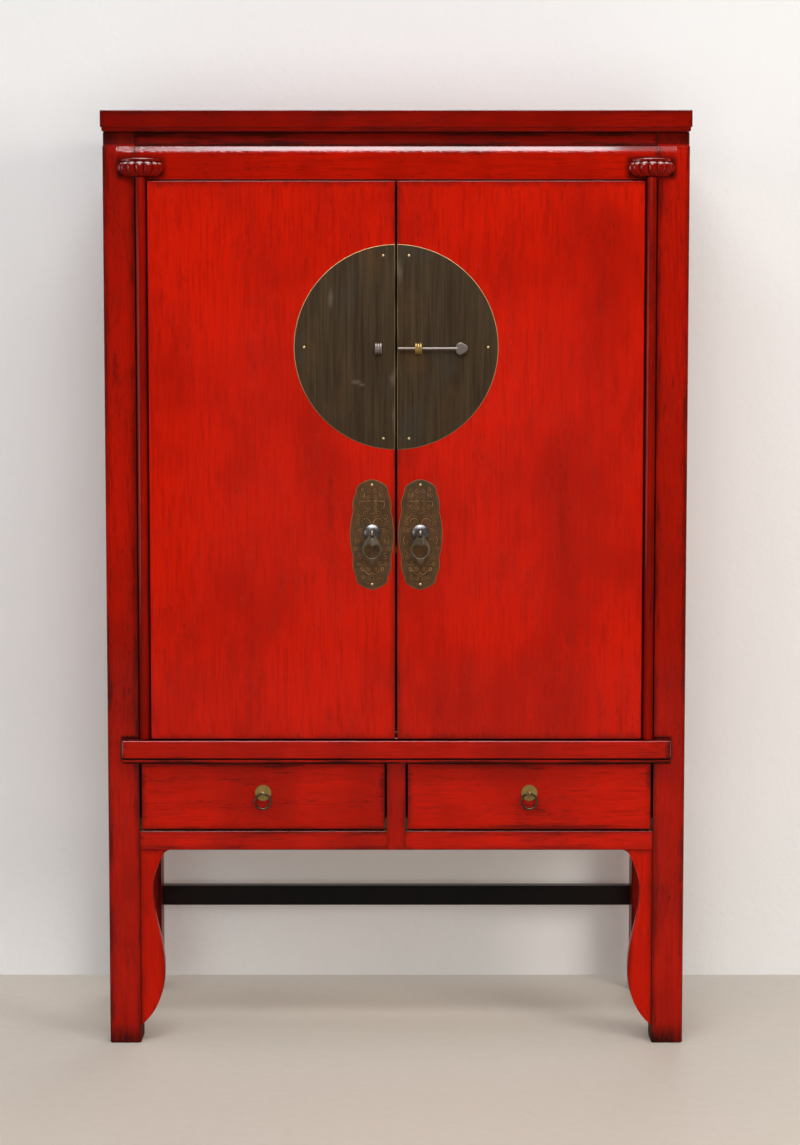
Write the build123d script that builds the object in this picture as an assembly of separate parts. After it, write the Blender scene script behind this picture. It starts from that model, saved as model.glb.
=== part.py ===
from build123d import *
import math
import os

# A lacquered two-door wedding cabinet on four posts: pivot-hung doors in carved sockets and a proud sill, a
# round plate in two halves with a sliding lock pin, two drop pulls, and two drawers with ring pulls.
# Millimetres. +X is to the right as the doors are faced, +Y is to the back, +Z is up. The origin is on the
# floor under the middle of the bounding box. Paired pieces are made for the right side and mirrored.

# --- Driving dimensions: the front, from the floor up ---
leg_clear = 392.0
bottom_rail_height = 38.0
drawer_opening_height = 140.0
sill_height = 45.0
door_bottom_gap = 3.0
door_height = 1094.5
door_top_gap = 4.0
top_rail_height = 64.5
neck_height = 27.0
cap_bead_height = 8.5
cap_face_height = 33.5

# --- Driving dimensions: the frame in plan ---
opening_width = 1022.0
post_size = 62.0
depth = 500.0
rail_depth = 38.0
neck_setback = 10.0
bevel_height = 12.0
bevel_depth = 4.0
bevel_past_opening = 36.0
cap_overhang = 3.0
cap_front_overhang = 14.0
cap_edge_break = 1.5
bead_inset = 2.5
bead_round = 3.5
foot_chamfer = 3.0

# --- Driving dimensions: joinery ---
tenon_thickness = 14.0
tenon_length = 30.0
tenon_shoulder = 6.0
tenon_set = 18.0  # from a frame face to the middle of the tenons behind it
mortise_play = 1.0
stub_size = 24.0
stub_height = 12.0
panel_thickness = 10.0
panel_recess = 8.0
tongue = 8.0
tongue_play = 1.0
back_stile_width = 60.0

# --- Driving dimensions: sill, divider and legs ---
sill_proud = 30.0
sill_behind = 45.0
sill_horn = 31.5  # over the face of each post
sill_end_break = 3.0
sill_bead_height = 7.5
sill_bead_inset = 1.5
sill_groove_height = 3.0
sill_groove_depth = 4.0
stop_lap = 14.0  # rebates behind the doors, at the top rail and the sill
stop_play = 0.5
divider_width = 37.0
divider_lap = 20.0
divider_stub = 10.0
bracket_thickness = 22.0
bracket_setback = 2.0
bracket_top_reach = 47.0
bracket_waist_reach = 24.0
bracket_waist_z = 310.0
bracket_belly_reach = 48.0
bracket_belly_z = 155.0
bracket_foot_z = 36.0
stretcher_z = 180.0
stretcher_height = 43.0
stretcher_depth = 24.0

# --- Driving dimensions: inside ---
floor_thickness = 14.0
floor_tongue_thickness = 8.0
floor_drop = 6.0
bottom_board_thickness = 10.0
bottom_board_lift = 10.0
shelf_thickness = 18.0
shelf_play = 2.0
shelf_spacing = 355.0
cleat_height = 28.0
cleat_width = 22.0
cleat_stub = 12.0
runner_width = 50.0
guide_height = 16.0
guide_play = 1.5
runner_play = 0.3

# --- Driving dimensions: doors and their pivots ---
door_gap = 4.5
door_proud = 16.0
door_thickness = 24.0
rod_radius = 10.0
rod_clearance = 1.0
stile_clearance = 3.0
stile_groove_width = 3.5
stile_groove_depth = 10.0
stile_tongue_length = 8.0
stile_tongue_thickness = 6.0
pivot_radius = 7.0
pivot_play = 0.08
pivot_length = 24.0
pivot_end_play = 0.3
batten_height = 50.0
batten_thickness = 14.0
batten_root = 30.0
batten_flare = 3.0
batten_depth = 5.0
batten_near = 40.0  # from the meeting edge
batten_far = 16.0  # from the outer edge of the panel
batten_end_margin = 150.0
batten_count = 3

# --- Driving dimensions: carved pivot sockets ---
socket_height = 34.0
socket_width = 94.0
socket_reach = 36.0
socket_lip = 4.0
socket_above_rod = 1.0
socket_lift = 5.0  # its underside over the lower edge of the top rail
socket_lobes = 7
lobe_flat_count = 4
socket_notch = 0.13  # depth of the notches between the lobes, against the reach
socket_belly_drop = 12.0  # from the lip to the fullest part
socket_belly_share = 1.0
socket_foot_share = 0.72
socket_neck_share = 0.82
socket_lip_share = 0.86
socket_stub_width = 24.0
socket_stub_height = 16.0
socket_stub_length = 12.0

# --- Driving dimensions: round plate, staples and lock pin ---
disc_radius = 200.0
disc_z = 1390.0
disc_thickness = 1.5
disc_nail_inset = 20.0
disc_nail_angle = 82.0
nail_head_radius = 2.4
nail_head_rise = 1.0
nail_head_sides = 8
nail_head_taper = 40.0
nail_shank = 1.8
nail_length = 13.0
nail_play = 0.1
pin_z = 1387.5
pin_radius = 2.25
pin_play = 0.3
pin_standoff = 7.5
pin_length = 113.5
pin_tip = 3.0  # X of the tip while the pin is drawn back
pin_head_length = 24.0
pin_head_height = 23.0
pin_head_thickness = 3.0
pin_head_root = 3.0  # how far the rod runs into the leaf
staple_right_x = 43.5
staple_left_x = -34.75
staple_height = 23.0
staple_reach = 12.0
staple_ridges = 3
ridge_width = 3.4
ridge_gap = 1.7
ridge_gap_share = 0.86
staple_flats = 8

# --- Driving dimensions: handle plates and drop pulls ---
handle_x = 47.5
handle_z = 1023.0
handle_height = 218.0
handle_width = 87.0
handle_cusp_width = 74.0  # across the cusps over and under the middle
handle_cusp_z = 46.0
handle_shoulder_width = 63.0
handle_shoulder_z = 82.5
handle_corner_width = 42.0  # across the corners of the crown
handle_corner_z = 101.2
handle_crown_sag = 1.1  # how far each arc stands out from its chord
handle_corner_sag = 3.6
handle_side_sag = 3.4
handle_thickness = 1.2
handle_nail_offset = 98.0
boss_radius = 16.5
boss_rise = 7.4
boss_edge = 1.0
boss_bands = 3
boss_spread = 72.0  # how far round the hammered bands run towards the crown
round_sides = 24  # of a boss or a rosette
boss_lift = 4.0  # over the middle of the plate
eye_radius = 4.1
eye_wire = 1.1
eye_sides = 16
cotter_width = 2.2
cotter_play = 0.1
cotter_leg_reach = 8.0
cotter_leg_thickness = 1.2
drop_thickness = 2.4
drop_rim = 2.0
drop_hole_radius = 4.0
drop_sag = 1.0  # the rim hangs this much under the middle of the eye
drop_radius = 19.0
drop_centre = 31.5  # this and the levels below run down from the middle of its rim
drop_length = 63.0
drop_shoulder_angle = 40.0
drop_hip_angle = 58.0
heart_width = 31.0
heart_top = 22.5
heart_cusp = 27.0
heart_middle = 32.0
heart_foot = 49.0

# --- Driving dimensions: drawers ---
drawer_side_gap = 4.5
drawer_level_gap = 4.0
drawer_front_thickness = 20.0
drawer_length = 430.0
drawer_box_inset = 3.0
drawer_side_thickness = 12.0
drawer_side_drop = 10.0
drawer_bottom_thickness = 8.0
drawer_bottom_lift = 8.0
drawer_groove = 5.0
tail_length = 12.0
tail_root = 22.0
tail_flare = 3.0
tail_count = 3
rosette_radius = 16.0
rosette_thickness = 2.0
rosette_z = 507.0
ring_radius = 15.35
ring_wire = 2.0
ring_sides = 8
ring_flat_count = 24
ring_play = 0.3

# --- Levels and planes worked out from them ---
drawer_floor_z = leg_clear + bottom_rail_height
sill_z = drawer_floor_z + drawer_opening_height
sill_top_z = sill_z + sill_height
lip_z = sill_top_z + stop_lap
door_z = sill_top_z + door_bottom_gap
door_top_z = door_z + door_height
top_rail_z = door_top_z + door_top_gap
neck_z = top_rail_z + top_rail_height
cap_z = neck_z + neck_height
cap_face_z = cap_z + cap_bead_height
height = cap_face_z + cap_face_height

post_in = opening_width / 2
half_width = post_in + post_size
front = -(depth - socket_reach) / 2
back = front + depth
front_tenon_y = front + tenon_set
back_tenon_y = back - tenon_set
side_tenon_x = half_width - rail_depth / 2
rail_in_x = half_width - rail_depth
panel_in_x = half_width - panel_recess - panel_thickness

door_front = front - door_proud
door_back = door_front + door_thickness
pivot_x = post_in - stile_clearance - rod_radius
pivot_y = front - rod_radius - rod_clearance
panel_edge = pivot_x - rod_radius - stile_groove_width
stile_front = door_front + stile_groove_depth
stop_y = door_back + stop_play
socket_z = top_rail_z + socket_lift
rod_bottom = sill_top_z + rod_clearance
rod_top = socket_z - socket_above_rod

floor_top = lip_z - floor_drop
bottom_board_z = leg_clear + bottom_board_lift
bottom_board_top = bottom_board_z + bottom_board_thickness
drawer_z = drawer_floor_z + drawer_level_gap
drawer_top = sill_z - drawer_level_gap
runner_top = drawer_z - runner_play
drawer_near = divider_width / 2 + drawer_side_gap
drawer_far = post_in - drawer_side_gap
box_near = drawer_near + drawer_box_inset
box_far = drawer_far - drawer_box_inset
drawer_middle = (drawer_near + drawer_far) / 2

disc_face = door_front - disc_thickness
pin_y = disc_face - pin_standoff
handle_face = door_front - handle_thickness
boss_z = handle_z + boss_lift
drop_eye_y = handle_face - boss_edge - boss_rise - eye_radius - eye_wire
drop_rim_z = boss_z - drop_sag
ring_eye_y = front - rosette_thickness - eye_radius - eye_wire
ring_rim_z = rosette_z - (eye_radius - eye_wire - ring_wire - ring_play)


# --- Shapes that several pieces use ---
def block(x0, x1, y0, y1, z0, z1):
    """A squared piece between two opposite corners."""
    return Pos((x0 + x1) / 2, (y0 + y1) / 2, (z0 + z1) / 2) * Box(x1 - x0, y1 - y0, z1 - z0)


def moulding(profile, x0, x1):
    """A straight piece along X, from its outline of (y, z) points."""
    outline = Polyline(*[(x0, y, z) for y, z in profile], close=True)
    return extrude(make_face(outline), amount=x1 - x0, dir=(1, 0, 0))


def facing(outline, x, y, z, thickness):
    """A flat piece that faces the front, from an outline in its own plane, with its back at y."""
    plane = Plane((x, y, z), x_dir=(1, 0, 0), z_dir=(0, -1, 0))
    return extrude(plane * make_face(outline), amount=thickness)


def upright(x, y, z0, z1, radius):
    """A vertical round bar."""
    return Pos(x, y, (z0 + z1) / 2) * Cylinder(radius, z1 - z0)


def peg(x, y0, y1, z, radius):
    """A round bar that runs front to back."""
    return Pos(x, (y0 + y1) / 2, z) * Rot(90, 0, 0) * Cylinder(radius, y1 - y0)


def faceted(stations):
    """A closed body of flat facets between outlines that have equally many corners."""
    faces = [make_face(Polyline(*outline, close=True)) for outline in (stations[0], stations[-1])]
    for low, high in zip(stations, stations[1:]):
        for n in range(len(low)):
            faces.append(make_face(Polyline(low[n - 1], low[n], high[n], high[n - 1], close=True)))
    return Solid(Shell(faces))


def round_facing(x, y, z, radius):
    """The corners of a many-sided round outline that faces the front."""
    turns = [2 * math.pi * (n + 0.5) / round_sides for n in range(round_sides)]
    return [(x + radius * math.cos(turn), y, z + radius * math.sin(turn)) for turn in turns]


def flip(shape):
    """The same piece on the other side."""
    return mirror(shape, Plane.YZ)


# --- Frame ---
front_levels = (
    (top_rail_z - stop_lap, neck_z),
    (neck_z, cap_z),
    (sill_z, lip_z),
    (leg_clear, drawer_floor_z),
)
side_levels = ((top_rail_z, cap_z), (sill_z, lip_z), (leg_clear, drawer_floor_z))
stretcher_level = (stretcher_z, stretcher_z + stretcher_height)


def cross_tenon(y, level, play=0.0):
    """The right-hand tenon of a piece that runs along X, or with play its mortise."""
    low, high = level[0] + tenon_shoulder, level[1] - tenon_shoulder
    half = tenon_thickness / 2
    return block(post_in, post_in + tenon_length + play, y - half, y + half, low, high)


def side_tenon(level, play=0.0):
    """The tenons of a right side rail in both posts, or with play their mortises."""
    low, high = level[0] + tenon_shoulder, level[1] - tenon_shoulder
    half = tenon_thickness / 2
    y0, y1 = front + post_size, back - post_size
    x0, x1 = side_tenon_x - half, side_tenon_x + half
    ahead = block(x0, x1, y0 - tenon_length - play, y0, low, high)
    behind = block(x0, x1, y1, y1 + tenon_length + play, low, high)
    return ahead, behind


def side_panel(z0, z1, play=0.0):
    """A right side panel between two rails, with its tongues, or with play its grooves."""
    grow = tongue + play
    y0, y1 = front + post_size - grow, back - post_size + grow
    return block(panel_in_x, panel_in_x + panel_thickness, y0, y1, z0 - grow, z1 + grow)


def back_panel(x0, x1, z0, z1, play=0.0):
    """A back panel, with its tongues, or with play its grooves."""
    grow = tongue + play
    y1 = back - panel_recess
    return block(x0 - grow, x1 + grow, y1 - panel_thickness, y1, z0 - grow, z1 + grow)


side_bays = ((lip_z, top_rail_z), (drawer_floor_z, sill_z))
back_bays = (
    (-post_in, -back_stile_width / 2, lip_z, top_rail_z),
    (back_stile_width / 2, post_in, lip_z, top_rail_z),
    (-post_in, post_in, drawer_floor_z, sill_z),
)


def frame_bevel():
    """What the bevel along the top of the front frame takes off."""
    reach = post_in + bevel_past_opening
    profile = ((front, neck_z - bevel_height), (front + bevel_depth, neck_z), (front, neck_z))
    return moulding(profile, -reach, reach)


def post_body(y0):
    """A right post up to the cap, with its stub and its worn foot."""
    y1 = y0 + post_size
    body = block(post_in, half_width, y0, y1, 0, cap_z)
    body = chamfer(body.edges().group_by(Axis.Z)[0], foot_chamfer)
    x, y, half = half_width - post_size / 2, (y0 + y1) / 2, stub_size / 2
    return body + block(x - half, x + half, y - half, y + half, cap_z, cap_z + stub_height)


def front_post():
    post = post_body(front)
    post -= block(post_in, half_width, front, front + neck_setback, neck_z, cap_z)
    post -= frame_bevel()
    for level in front_levels:
        post -= cross_tenon(front_tenon_y, level, mortise_play)
    for level in side_levels:
        post -= side_tenon(level, mortise_play)[0]
    for bay in side_bays:
        post -= side_panel(*bay, tongue_play)
    for cleat in cleats():
        post -= cleat
    return post


def rear_post():
    post = post_body(back - post_size)
    for level in (*side_levels, stretcher_level):
        post -= cross_tenon(back_tenon_y, level, mortise_play)
    for level in side_levels:
        post -= side_tenon(level, mortise_play)[1]
    for bay in side_bays:
        post -= side_panel(*bay, tongue_play)
    for bay in back_bays:
        post -= back_panel(*bay, tongue_play)
    for cleat in cleats():
        post -= cleat
    return post


def with_tenons(rail, y, level):
    """A piece along X with a tenon at each end."""
    tenon = cross_tenon(y, level)
    return rail + tenon + flip(tenon)


def top_rail():
    """The rail over the doors, with the rebate that stops them and a mortise for each socket."""
    y1 = front + rail_depth
    low = top_rail_z - stop_lap
    profile = ((front, top_rail_z), (stop_y, top_rail_z), (stop_y, low), (y1, low), (y1, neck_z), (front, neck_z))
    rail = with_tenons(moulding(profile, -post_in, post_in), front_tenon_y, front_levels[0])
    rail -= frame_bevel()
    return rail - socket_stub() - flip(socket_stub())


def neck_board():
    rail = block(-post_in, post_in, front + neck_setback, front + rail_depth, neck_z, cap_z)
    return with_tenons(rail, front_tenon_y, front_levels[1])


def sill_rail():
    """The proud sill: a moulded front with horns over the posts, a raised lip behind, and two pivot holes."""
    face = front - sill_proud
    bead_top = sill_z + sill_bead_height
    groove_top = bead_top + sill_groove_height
    reach = post_in + sill_horn
    profile = (
        (face + sill_bead_inset, sill_z),
        (face + sill_bead_inset, bead_top),
        (face + sill_groove_depth, bead_top),
        (face + sill_groove_depth, groove_top),
        (face, groove_top),
        (face, sill_top_z),
        (front, sill_top_z),
        (front, sill_z),
    )
    nose = moulding(profile, -reach, reach)
    for x in (-reach, reach):
        nose -= Pos(x, face, sill_z + sill_height / 2) * Rot(0, 0, 45) * Box(
            sill_end_break * math.sqrt(2), sill_end_break * math.sqrt(2), sill_height
        )
    y1 = front + sill_behind
    profile = ((front, sill_z), (y1, sill_z), (y1, lip_z), (stop_y, lip_z), (stop_y, sill_top_z), (front, sill_top_z))
    rail = nose + with_tenons(moulding(profile, -post_in, post_in), front_tenon_y, front_levels[2])
    hole = upright(pivot_x, pivot_y, rod_bottom - pivot_length - pivot_end_play, sill_top_z, pivot_radius + pivot_play)
    rail -= hole
    rail -= flip(hole)
    rail -= floor_tongues(tongue_play)
    return rail - divider_stub_body()


def bottom_rail():
    rail = block(-post_in, post_in, front, front + rail_depth, leg_clear, drawer_floor_z)
    rail = with_tenons(rail, front_tenon_y, front_levels[3])
    half = divider_width / 2
    rail -= block(-half, half, front, front + divider_lap, leg_clear, drawer_floor_z)
    return rail - bottom_board_body(tongue_play)


def divider_stub_body():
    half, y = divider_width / 2, front_tenon_y
    thick = tenon_thickness / 2
    return block(-half + tenon_shoulder, half - tenon_shoulder, y - thick, y + thick, sill_z, sill_z + divider_stub)


def drawer_divider():
    """The upright between the drawers: stubbed into the sill and lapped over the bottom rail."""
    half = divider_width / 2
    post = block(-half, half, front, front + rail_depth, drawer_floor_z, sill_z)
    post += block(-half, half, front, front + divider_lap, leg_clear, drawer_floor_z)
    return post + divider_stub_body()


def leg_bracket():
    """The shaped board in the corner of a leg and the bottom rail."""
    top = (post_in - bracket_top_reach, leg_clear)
    waist = (post_in - bracket_waist_reach, bracket_waist_z)
    belly = (post_in - bracket_belly_reach, bracket_belly_z)
    foot = (post_in, bracket_foot_z)
    curve = Spline(top, waist, belly, foot, tangents=((1, -1), (0, -1), (0, -1), (1, -0.8)))
    edge = Polyline(foot, (post_in, leg_clear), top)
    return facing(curve + edge, 0, front + bracket_setback + bracket_thickness, 0, bracket_thickness)


def side_rail(level):
    rail = block(rail_in_x, half_width, front + post_size, back - post_size, *level)
    ahead, behind = side_tenon(level)
    rail += ahead
    rail += behind
    for bay in side_bays:
        rail -= side_panel(*bay, tongue_play)
    return rail - bottom_board_body(tongue_play)


def back_rail(level):
    rail = block(-post_in, post_in, back - rail_depth, back, *level)
    rail = with_tenons(rail, back_tenon_y, level)
    for bay in back_bays:
        rail -= back_panel(*bay, tongue_play)
    if level == side_levels[2]:
        return rail - bottom_board_body(tongue_play)
    stub = back_stile_stub()
    return rail - floor_tongues(tongue_play) - stub


def back_stile_stub():
    """Both stubs of the back stile, as one upright bar through the bay."""
    half, thick = back_stile_width / 2 - tenon_shoulder, tenon_thickness / 2
    low, high = lip_z - cleat_stub, top_rail_z + cleat_stub
    return block(-half, half, back_tenon_y - thick, back_tenon_y + thick, low, high)


def back_stile():
    half = back_stile_width / 2
    stile = block(-half, half, back - rail_depth, back, lip_z, top_rail_z) + back_stile_stub()
    for bay in back_bays:
        stile -= back_panel(*bay, tongue_play)
    return stile


def rear_stretcher():
    half = stretcher_depth / 2
    rail = block(-post_in, post_in, back_tenon_y - half, back_tenon_y + half, *stretcher_level)
    return with_tenons(rail, back_tenon_y, stretcher_level)


def post_shadows(grow=0.0):
    """The four posts as plain columns, for boards that are notched round them."""
    far = half_width + grow
    for y0 in (front, back - post_size):
        column = block(post_in - grow, far, y0 - grow, y0 + post_size + grow, 0, cap_z)
        yield column
        yield flip(column)


def notched(board, grow=0.0):
    for column in post_shadows(grow):
        board -= column
    return board


def top_board():
    """The cap: a plain face over a rounded bead, with a mortise over each post."""
    x1 = half_width + cap_overhang
    y0 = front - cap_front_overhang
    face = block(-x1, x1, y0, back, cap_face_z, height)
    face = chamfer(face.edges().group_by(Axis.Z)[-1], cap_edge_break)
    bead = block(-x1 + bead_inset, x1 - bead_inset, y0 + bead_inset, back, cap_z, cap_face_z)
    outer = bead.edges().group_by(Axis.Z)[0].sort_by(Axis.Y)[:-1]
    board = face + fillet(outer, bead_round)
    for post in (post_body(front), post_body(back - post_size)):
        board -= post
        board -= flip(post)
    return board


# --- Inside the frame ---
def floor_tongues(play=0.0):
    """The tongues of the compartment floor with what lies between them, or with play their grooves."""
    grow = tongue + play
    y0, y1 = front + sill_behind - grow, back - rail_depth + grow
    low = floor_top - floor_thickness
    return block(-rail_in_x, rail_in_x, y0, y1, low, low + floor_tongue_thickness)


def compartment_floor():
    """The floor between the sill and the back rail, rebated to a tongue at both."""
    y0, y1 = front + sill_behind, back - rail_depth
    board = block(-rail_in_x, rail_in_x, y0, y1, floor_top - floor_thickness, floor_top)
    return notched(board + floor_tongues())


def bottom_board_body(play=0.0):
    """The board under the drawers, or with play what its grooves take out."""
    grow = tongue + play
    x1 = rail_in_x + grow
    y0, y1 = front + rail_depth - grow, back - rail_depth + grow
    return block(-x1, x1, y0, y1, bottom_board_z, bottom_board_top)


def bottom_board():
    return notched(bottom_board_body())


def shelf_levels():
    """The underside of each shelf, at equal spacing over the compartment floor."""
    return [floor_top + shelf_spacing * n for n in (1, 2)]


def shelf(z):
    x1 = panel_in_x - shelf_play
    board = block(-x1, x1, front + post_size + shelf_play, back - rail_depth - shelf_play, z, z + shelf_thickness)
    return notched(board, shelf_play)


def cleats():
    """The strips that carry the shelves on the right, stubbed into the posts."""
    y0, y1 = front + post_size - cleat_stub, back - post_size + cleat_stub
    x0 = panel_in_x - cleat_width
    return [block(x0, panel_in_x, y0, y1, z - cleat_height, z) for z in shelf_levels()]


def side_runner():
    """The right drawer runner, with the guide along its outer edge."""
    y0, y1 = front + rail_depth, back - rail_depth
    runner = block(rail_in_x - runner_width, rail_in_x, y0, y1, bottom_board_top, runner_top)
    guide_x = box_far + guide_play
    runner += block(guide_x, rail_in_x, y0, y1, runner_top, runner_top + guide_height)
    return notched(runner)


def middle_runner():
    """The runner that both drawers share, with the guide between them."""
    y0, y1 = front + rail_depth, back - rail_depth
    guide = box_near - guide_play
    runner = block(-runner_width, runner_width, y0, y1, bottom_board_top, runner_top)
    return runner + block(-guide, guide, y0, y1, runner_top, runner_top + guide_height)


# --- Carved pivot sockets ---
def socket_outline(share, z):
    """The lobed plan of the bowl at a height: rounded lobes side by side round half an ellipse."""
    steps = socket_lobes * lobe_flat_count
    plan = []
    for n in range(steps + 1):
        turn = math.pi * n / steps
        out = share * (1 - socket_notch * (1 - abs(math.sin(socket_lobes * turn))))
        plan.append((pivot_x + out * socket_width / 2 * math.cos(turn), front - out * socket_reach * math.sin(turn), z))
    return plan


def pivot_socket():
    """A carved socket: a lobed bowl under a flat lip, stubbed into the top rail and bored for the door's pivot."""
    lip_low = socket_z + socket_height - socket_lip
    levels = (
        (socket_foot_share, socket_z),
        (socket_belly_share, lip_low - socket_belly_drop),
        (socket_neck_share, lip_low),
    )
    bowl = faceted([socket_outline(*level) for level in levels])
    lip = Pos(pivot_x, front, lip_low) * Ellipse(socket_lip_share * socket_width / 2, socket_lip_share * socket_reach)
    lip -= Pos(pivot_x, front + socket_reach, lip_low) * Rectangle(2 * socket_width, 2 * socket_reach)
    bore_top = rod_top + pivot_length + pivot_end_play
    bore = upright(pivot_x, pivot_y, socket_z, bore_top, pivot_radius + pivot_play)
    return bowl + extrude(lip, amount=socket_lip) - bore + socket_stub()


def socket_stub():
    x1 = post_in - tenon_shoulder
    middle = socket_z + socket_height / 2
    half = socket_stub_height / 2
    return block(x1 - socket_stub_width, x1, front, front + socket_stub_length, middle - half, middle + half)


# --- Doors ---
def batten(z):
    """A batten across the back of the right door, let in with a sliding dovetail."""
    half, root = batten_height / 2, batten_root / 2
    y1 = door_back + batten_thickness
    deep = door_back - batten_depth
    profile = (
        (y1, z - half),
        (y1, z + half),
        (door_back, z + half),
        (door_back, z + root),
        (deep, z + root + batten_flare),
        (deep, z - root - batten_flare),
        (door_back, z - root),
        (door_back, z - half),
    )
    return moulding(profile, door_gap / 2 + batten_near, panel_edge - batten_far)


def battens():
    span = door_height - 2 * batten_end_margin
    step = span / (batten_count - 1)
    return [batten(door_z + batten_end_margin + step * n) for n in range(batten_count)]


def stile_tongue():
    """The tongue on the outer edge of a door panel, inside the pivot stile."""
    y = (stile_front + door_back) / 2
    half = stile_tongue_thickness / 2
    return block(panel_edge, panel_edge + stile_tongue_length, y - half, y + half, door_z, door_top_z)


def door_panel():
    panel = block(door_gap / 2, panel_edge, door_front, door_back, door_z, door_top_z) + stile_tongue()
    for piece in (*battens(), *nail_shanks(nail_play), cotter_hole(handle_x, boss_z)):
        panel -= piece
    return panel


def pivot_stile():
    """The outer edge of a door: a round rod with a pivot at each end, on a squared body with a rounded heel."""
    outer = pivot_x + rod_radius
    body = block(panel_edge, pivot_x, stile_front, door_back, door_z, door_top_z)
    heel = block(pivot_x, outer, stile_front, door_back, door_z, door_top_z)
    heel &= upright(pivot_x, pivot_y, door_z, door_top_z, door_back - pivot_y)
    rod = upright(pivot_x, pivot_y, rod_bottom, rod_top, rod_radius)
    pivots = upright(pivot_x, pivot_y, rod_bottom - pivot_length, rod_top + pivot_length, pivot_radius)
    return body + heel + rod + pivots - stile_tongue()


# --- Brass on the doors ---
def nail_places():
    """X, Z and the face of each nail on the right door."""
    turn, ring = math.radians(disc_nail_angle), disc_radius - disc_nail_inset
    for angle in (turn, 0, -turn):
        yield ring * math.cos(angle), disc_z + ring * math.sin(angle), disc_face
    for side in (1, -1):
        yield handle_x, handle_z + side * handle_nail_offset, handle_face


def nail_shanks(play=0.0):
    """The square shanks of the nails, or with play their holes."""
    half = nail_shank / 2 + play
    return [
        block(x - half, x + half, face, face + nail_length + play, z - half, z + half)
        for x, z, face in nail_places()
    ]


def door_nails():
    """Hammered nails: a low head with flat sides on a square shank."""
    nails = []
    for (x, z, face), shank in zip(nail_places(), nail_shanks()):
        plane = Plane((x, face, z), x_dir=(1, 0, 0), z_dir=(0, -1, 0))
        head = plane * RegularPolygon(nail_head_radius, nail_head_sides)
        nails.append(extrude(head, amount=nail_head_rise, taper=nail_head_taper) + shank)
    return nails


def drilled(piece):
    """A plate with its nail holes."""
    for shank in nail_shanks(nail_play):
        piece -= shank
    return piece


def disc_half():
    """The right half of the round plate, cut off flush with the edge of its door."""
    disc = peg(0, disc_face, door_front, disc_z, disc_radius)
    disc -= block(-disc_radius, door_gap / 2, disc_face, door_front, disc_z - disc_radius, disc_z + disc_radius)
    return drilled(disc)


def handle_outline():
    """A cusped plate: seven arcs down each side, from point to point."""
    tip = (0, handle_height / 2)
    corner = (handle_corner_width / 2, handle_corner_z)
    shoulder = (handle_shoulder_width / 2, handle_shoulder_z)
    cusp = (handle_cusp_width / 2, handle_cusp_z)
    upper = [
        SagittaArc(tip, corner, handle_crown_sag),
        SagittaArc(corner, shoulder, handle_corner_sag),
        SagittaArc(shoulder, cusp, handle_side_sag),
    ]
    lower = [mirror(arc, Plane.XZ) for arc in upper]
    side = [*upper, ThreePointArc(cusp, (handle_width / 2, 0), (cusp[0], -cusp[1])), *lower]
    return side + [flip(arc) for arc in side]


def handle_plate():
    plate = facing(handle_outline(), handle_x, door_front, handle_z, handle_thickness)
    return drilled(plate) - cotter_hole(handle_x, boss_z)


def pull_boss():
    """A hammered boss: a round edge, then bands that slope ever less up to a small flat crown."""
    spread = math.radians(boss_spread)
    stations = [round_facing(handle_x, handle_face, boss_z, boss_radius)]
    for n in range(boss_bands + 1):
        turn = spread * n / boss_bands
        y = handle_face - boss_edge - boss_rise * math.sin(turn) / math.sin(spread)
        stations.append(round_facing(handle_x, y, boss_z, boss_radius * math.cos(turn)))
    return faceted(stations) - cotter_hole(handle_x, boss_z)


def cotter_hole(x, z):
    """The hole for a cotter, through all that it is driven into."""
    half = cotter_width / 2 + cotter_play
    return block(x - half, x + half, drop_eye_y + eye_radius, door_back + rail_depth, z - half, z + half)


def cotter(x, z, eye_y, behind):
    """A split pin of flat strip: an upright eye, a square shank and two legs bent open behind."""
    half = cotter_width / 2
    loop = RegularPolygon(eye_radius + eye_wire, eye_sides)
    loop -= RegularPolygon(eye_radius - eye_wire, eye_sides, major_radius=False)
    eye = extrude(Plane((x - half, eye_y, z), x_dir=(0, 1, 0), z_dir=(1, 0, 0)) * loop, amount=cotter_width)
    legs_back = behind + cotter_leg_thickness
    shank = block(x - half, x + half, eye_y + eye_radius, legs_back, z - half, z + half)
    reach = cotter_leg_reach
    return eye + shank + block(x - reach, x + reach, behind, legs_back, z - half, z + half)


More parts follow.
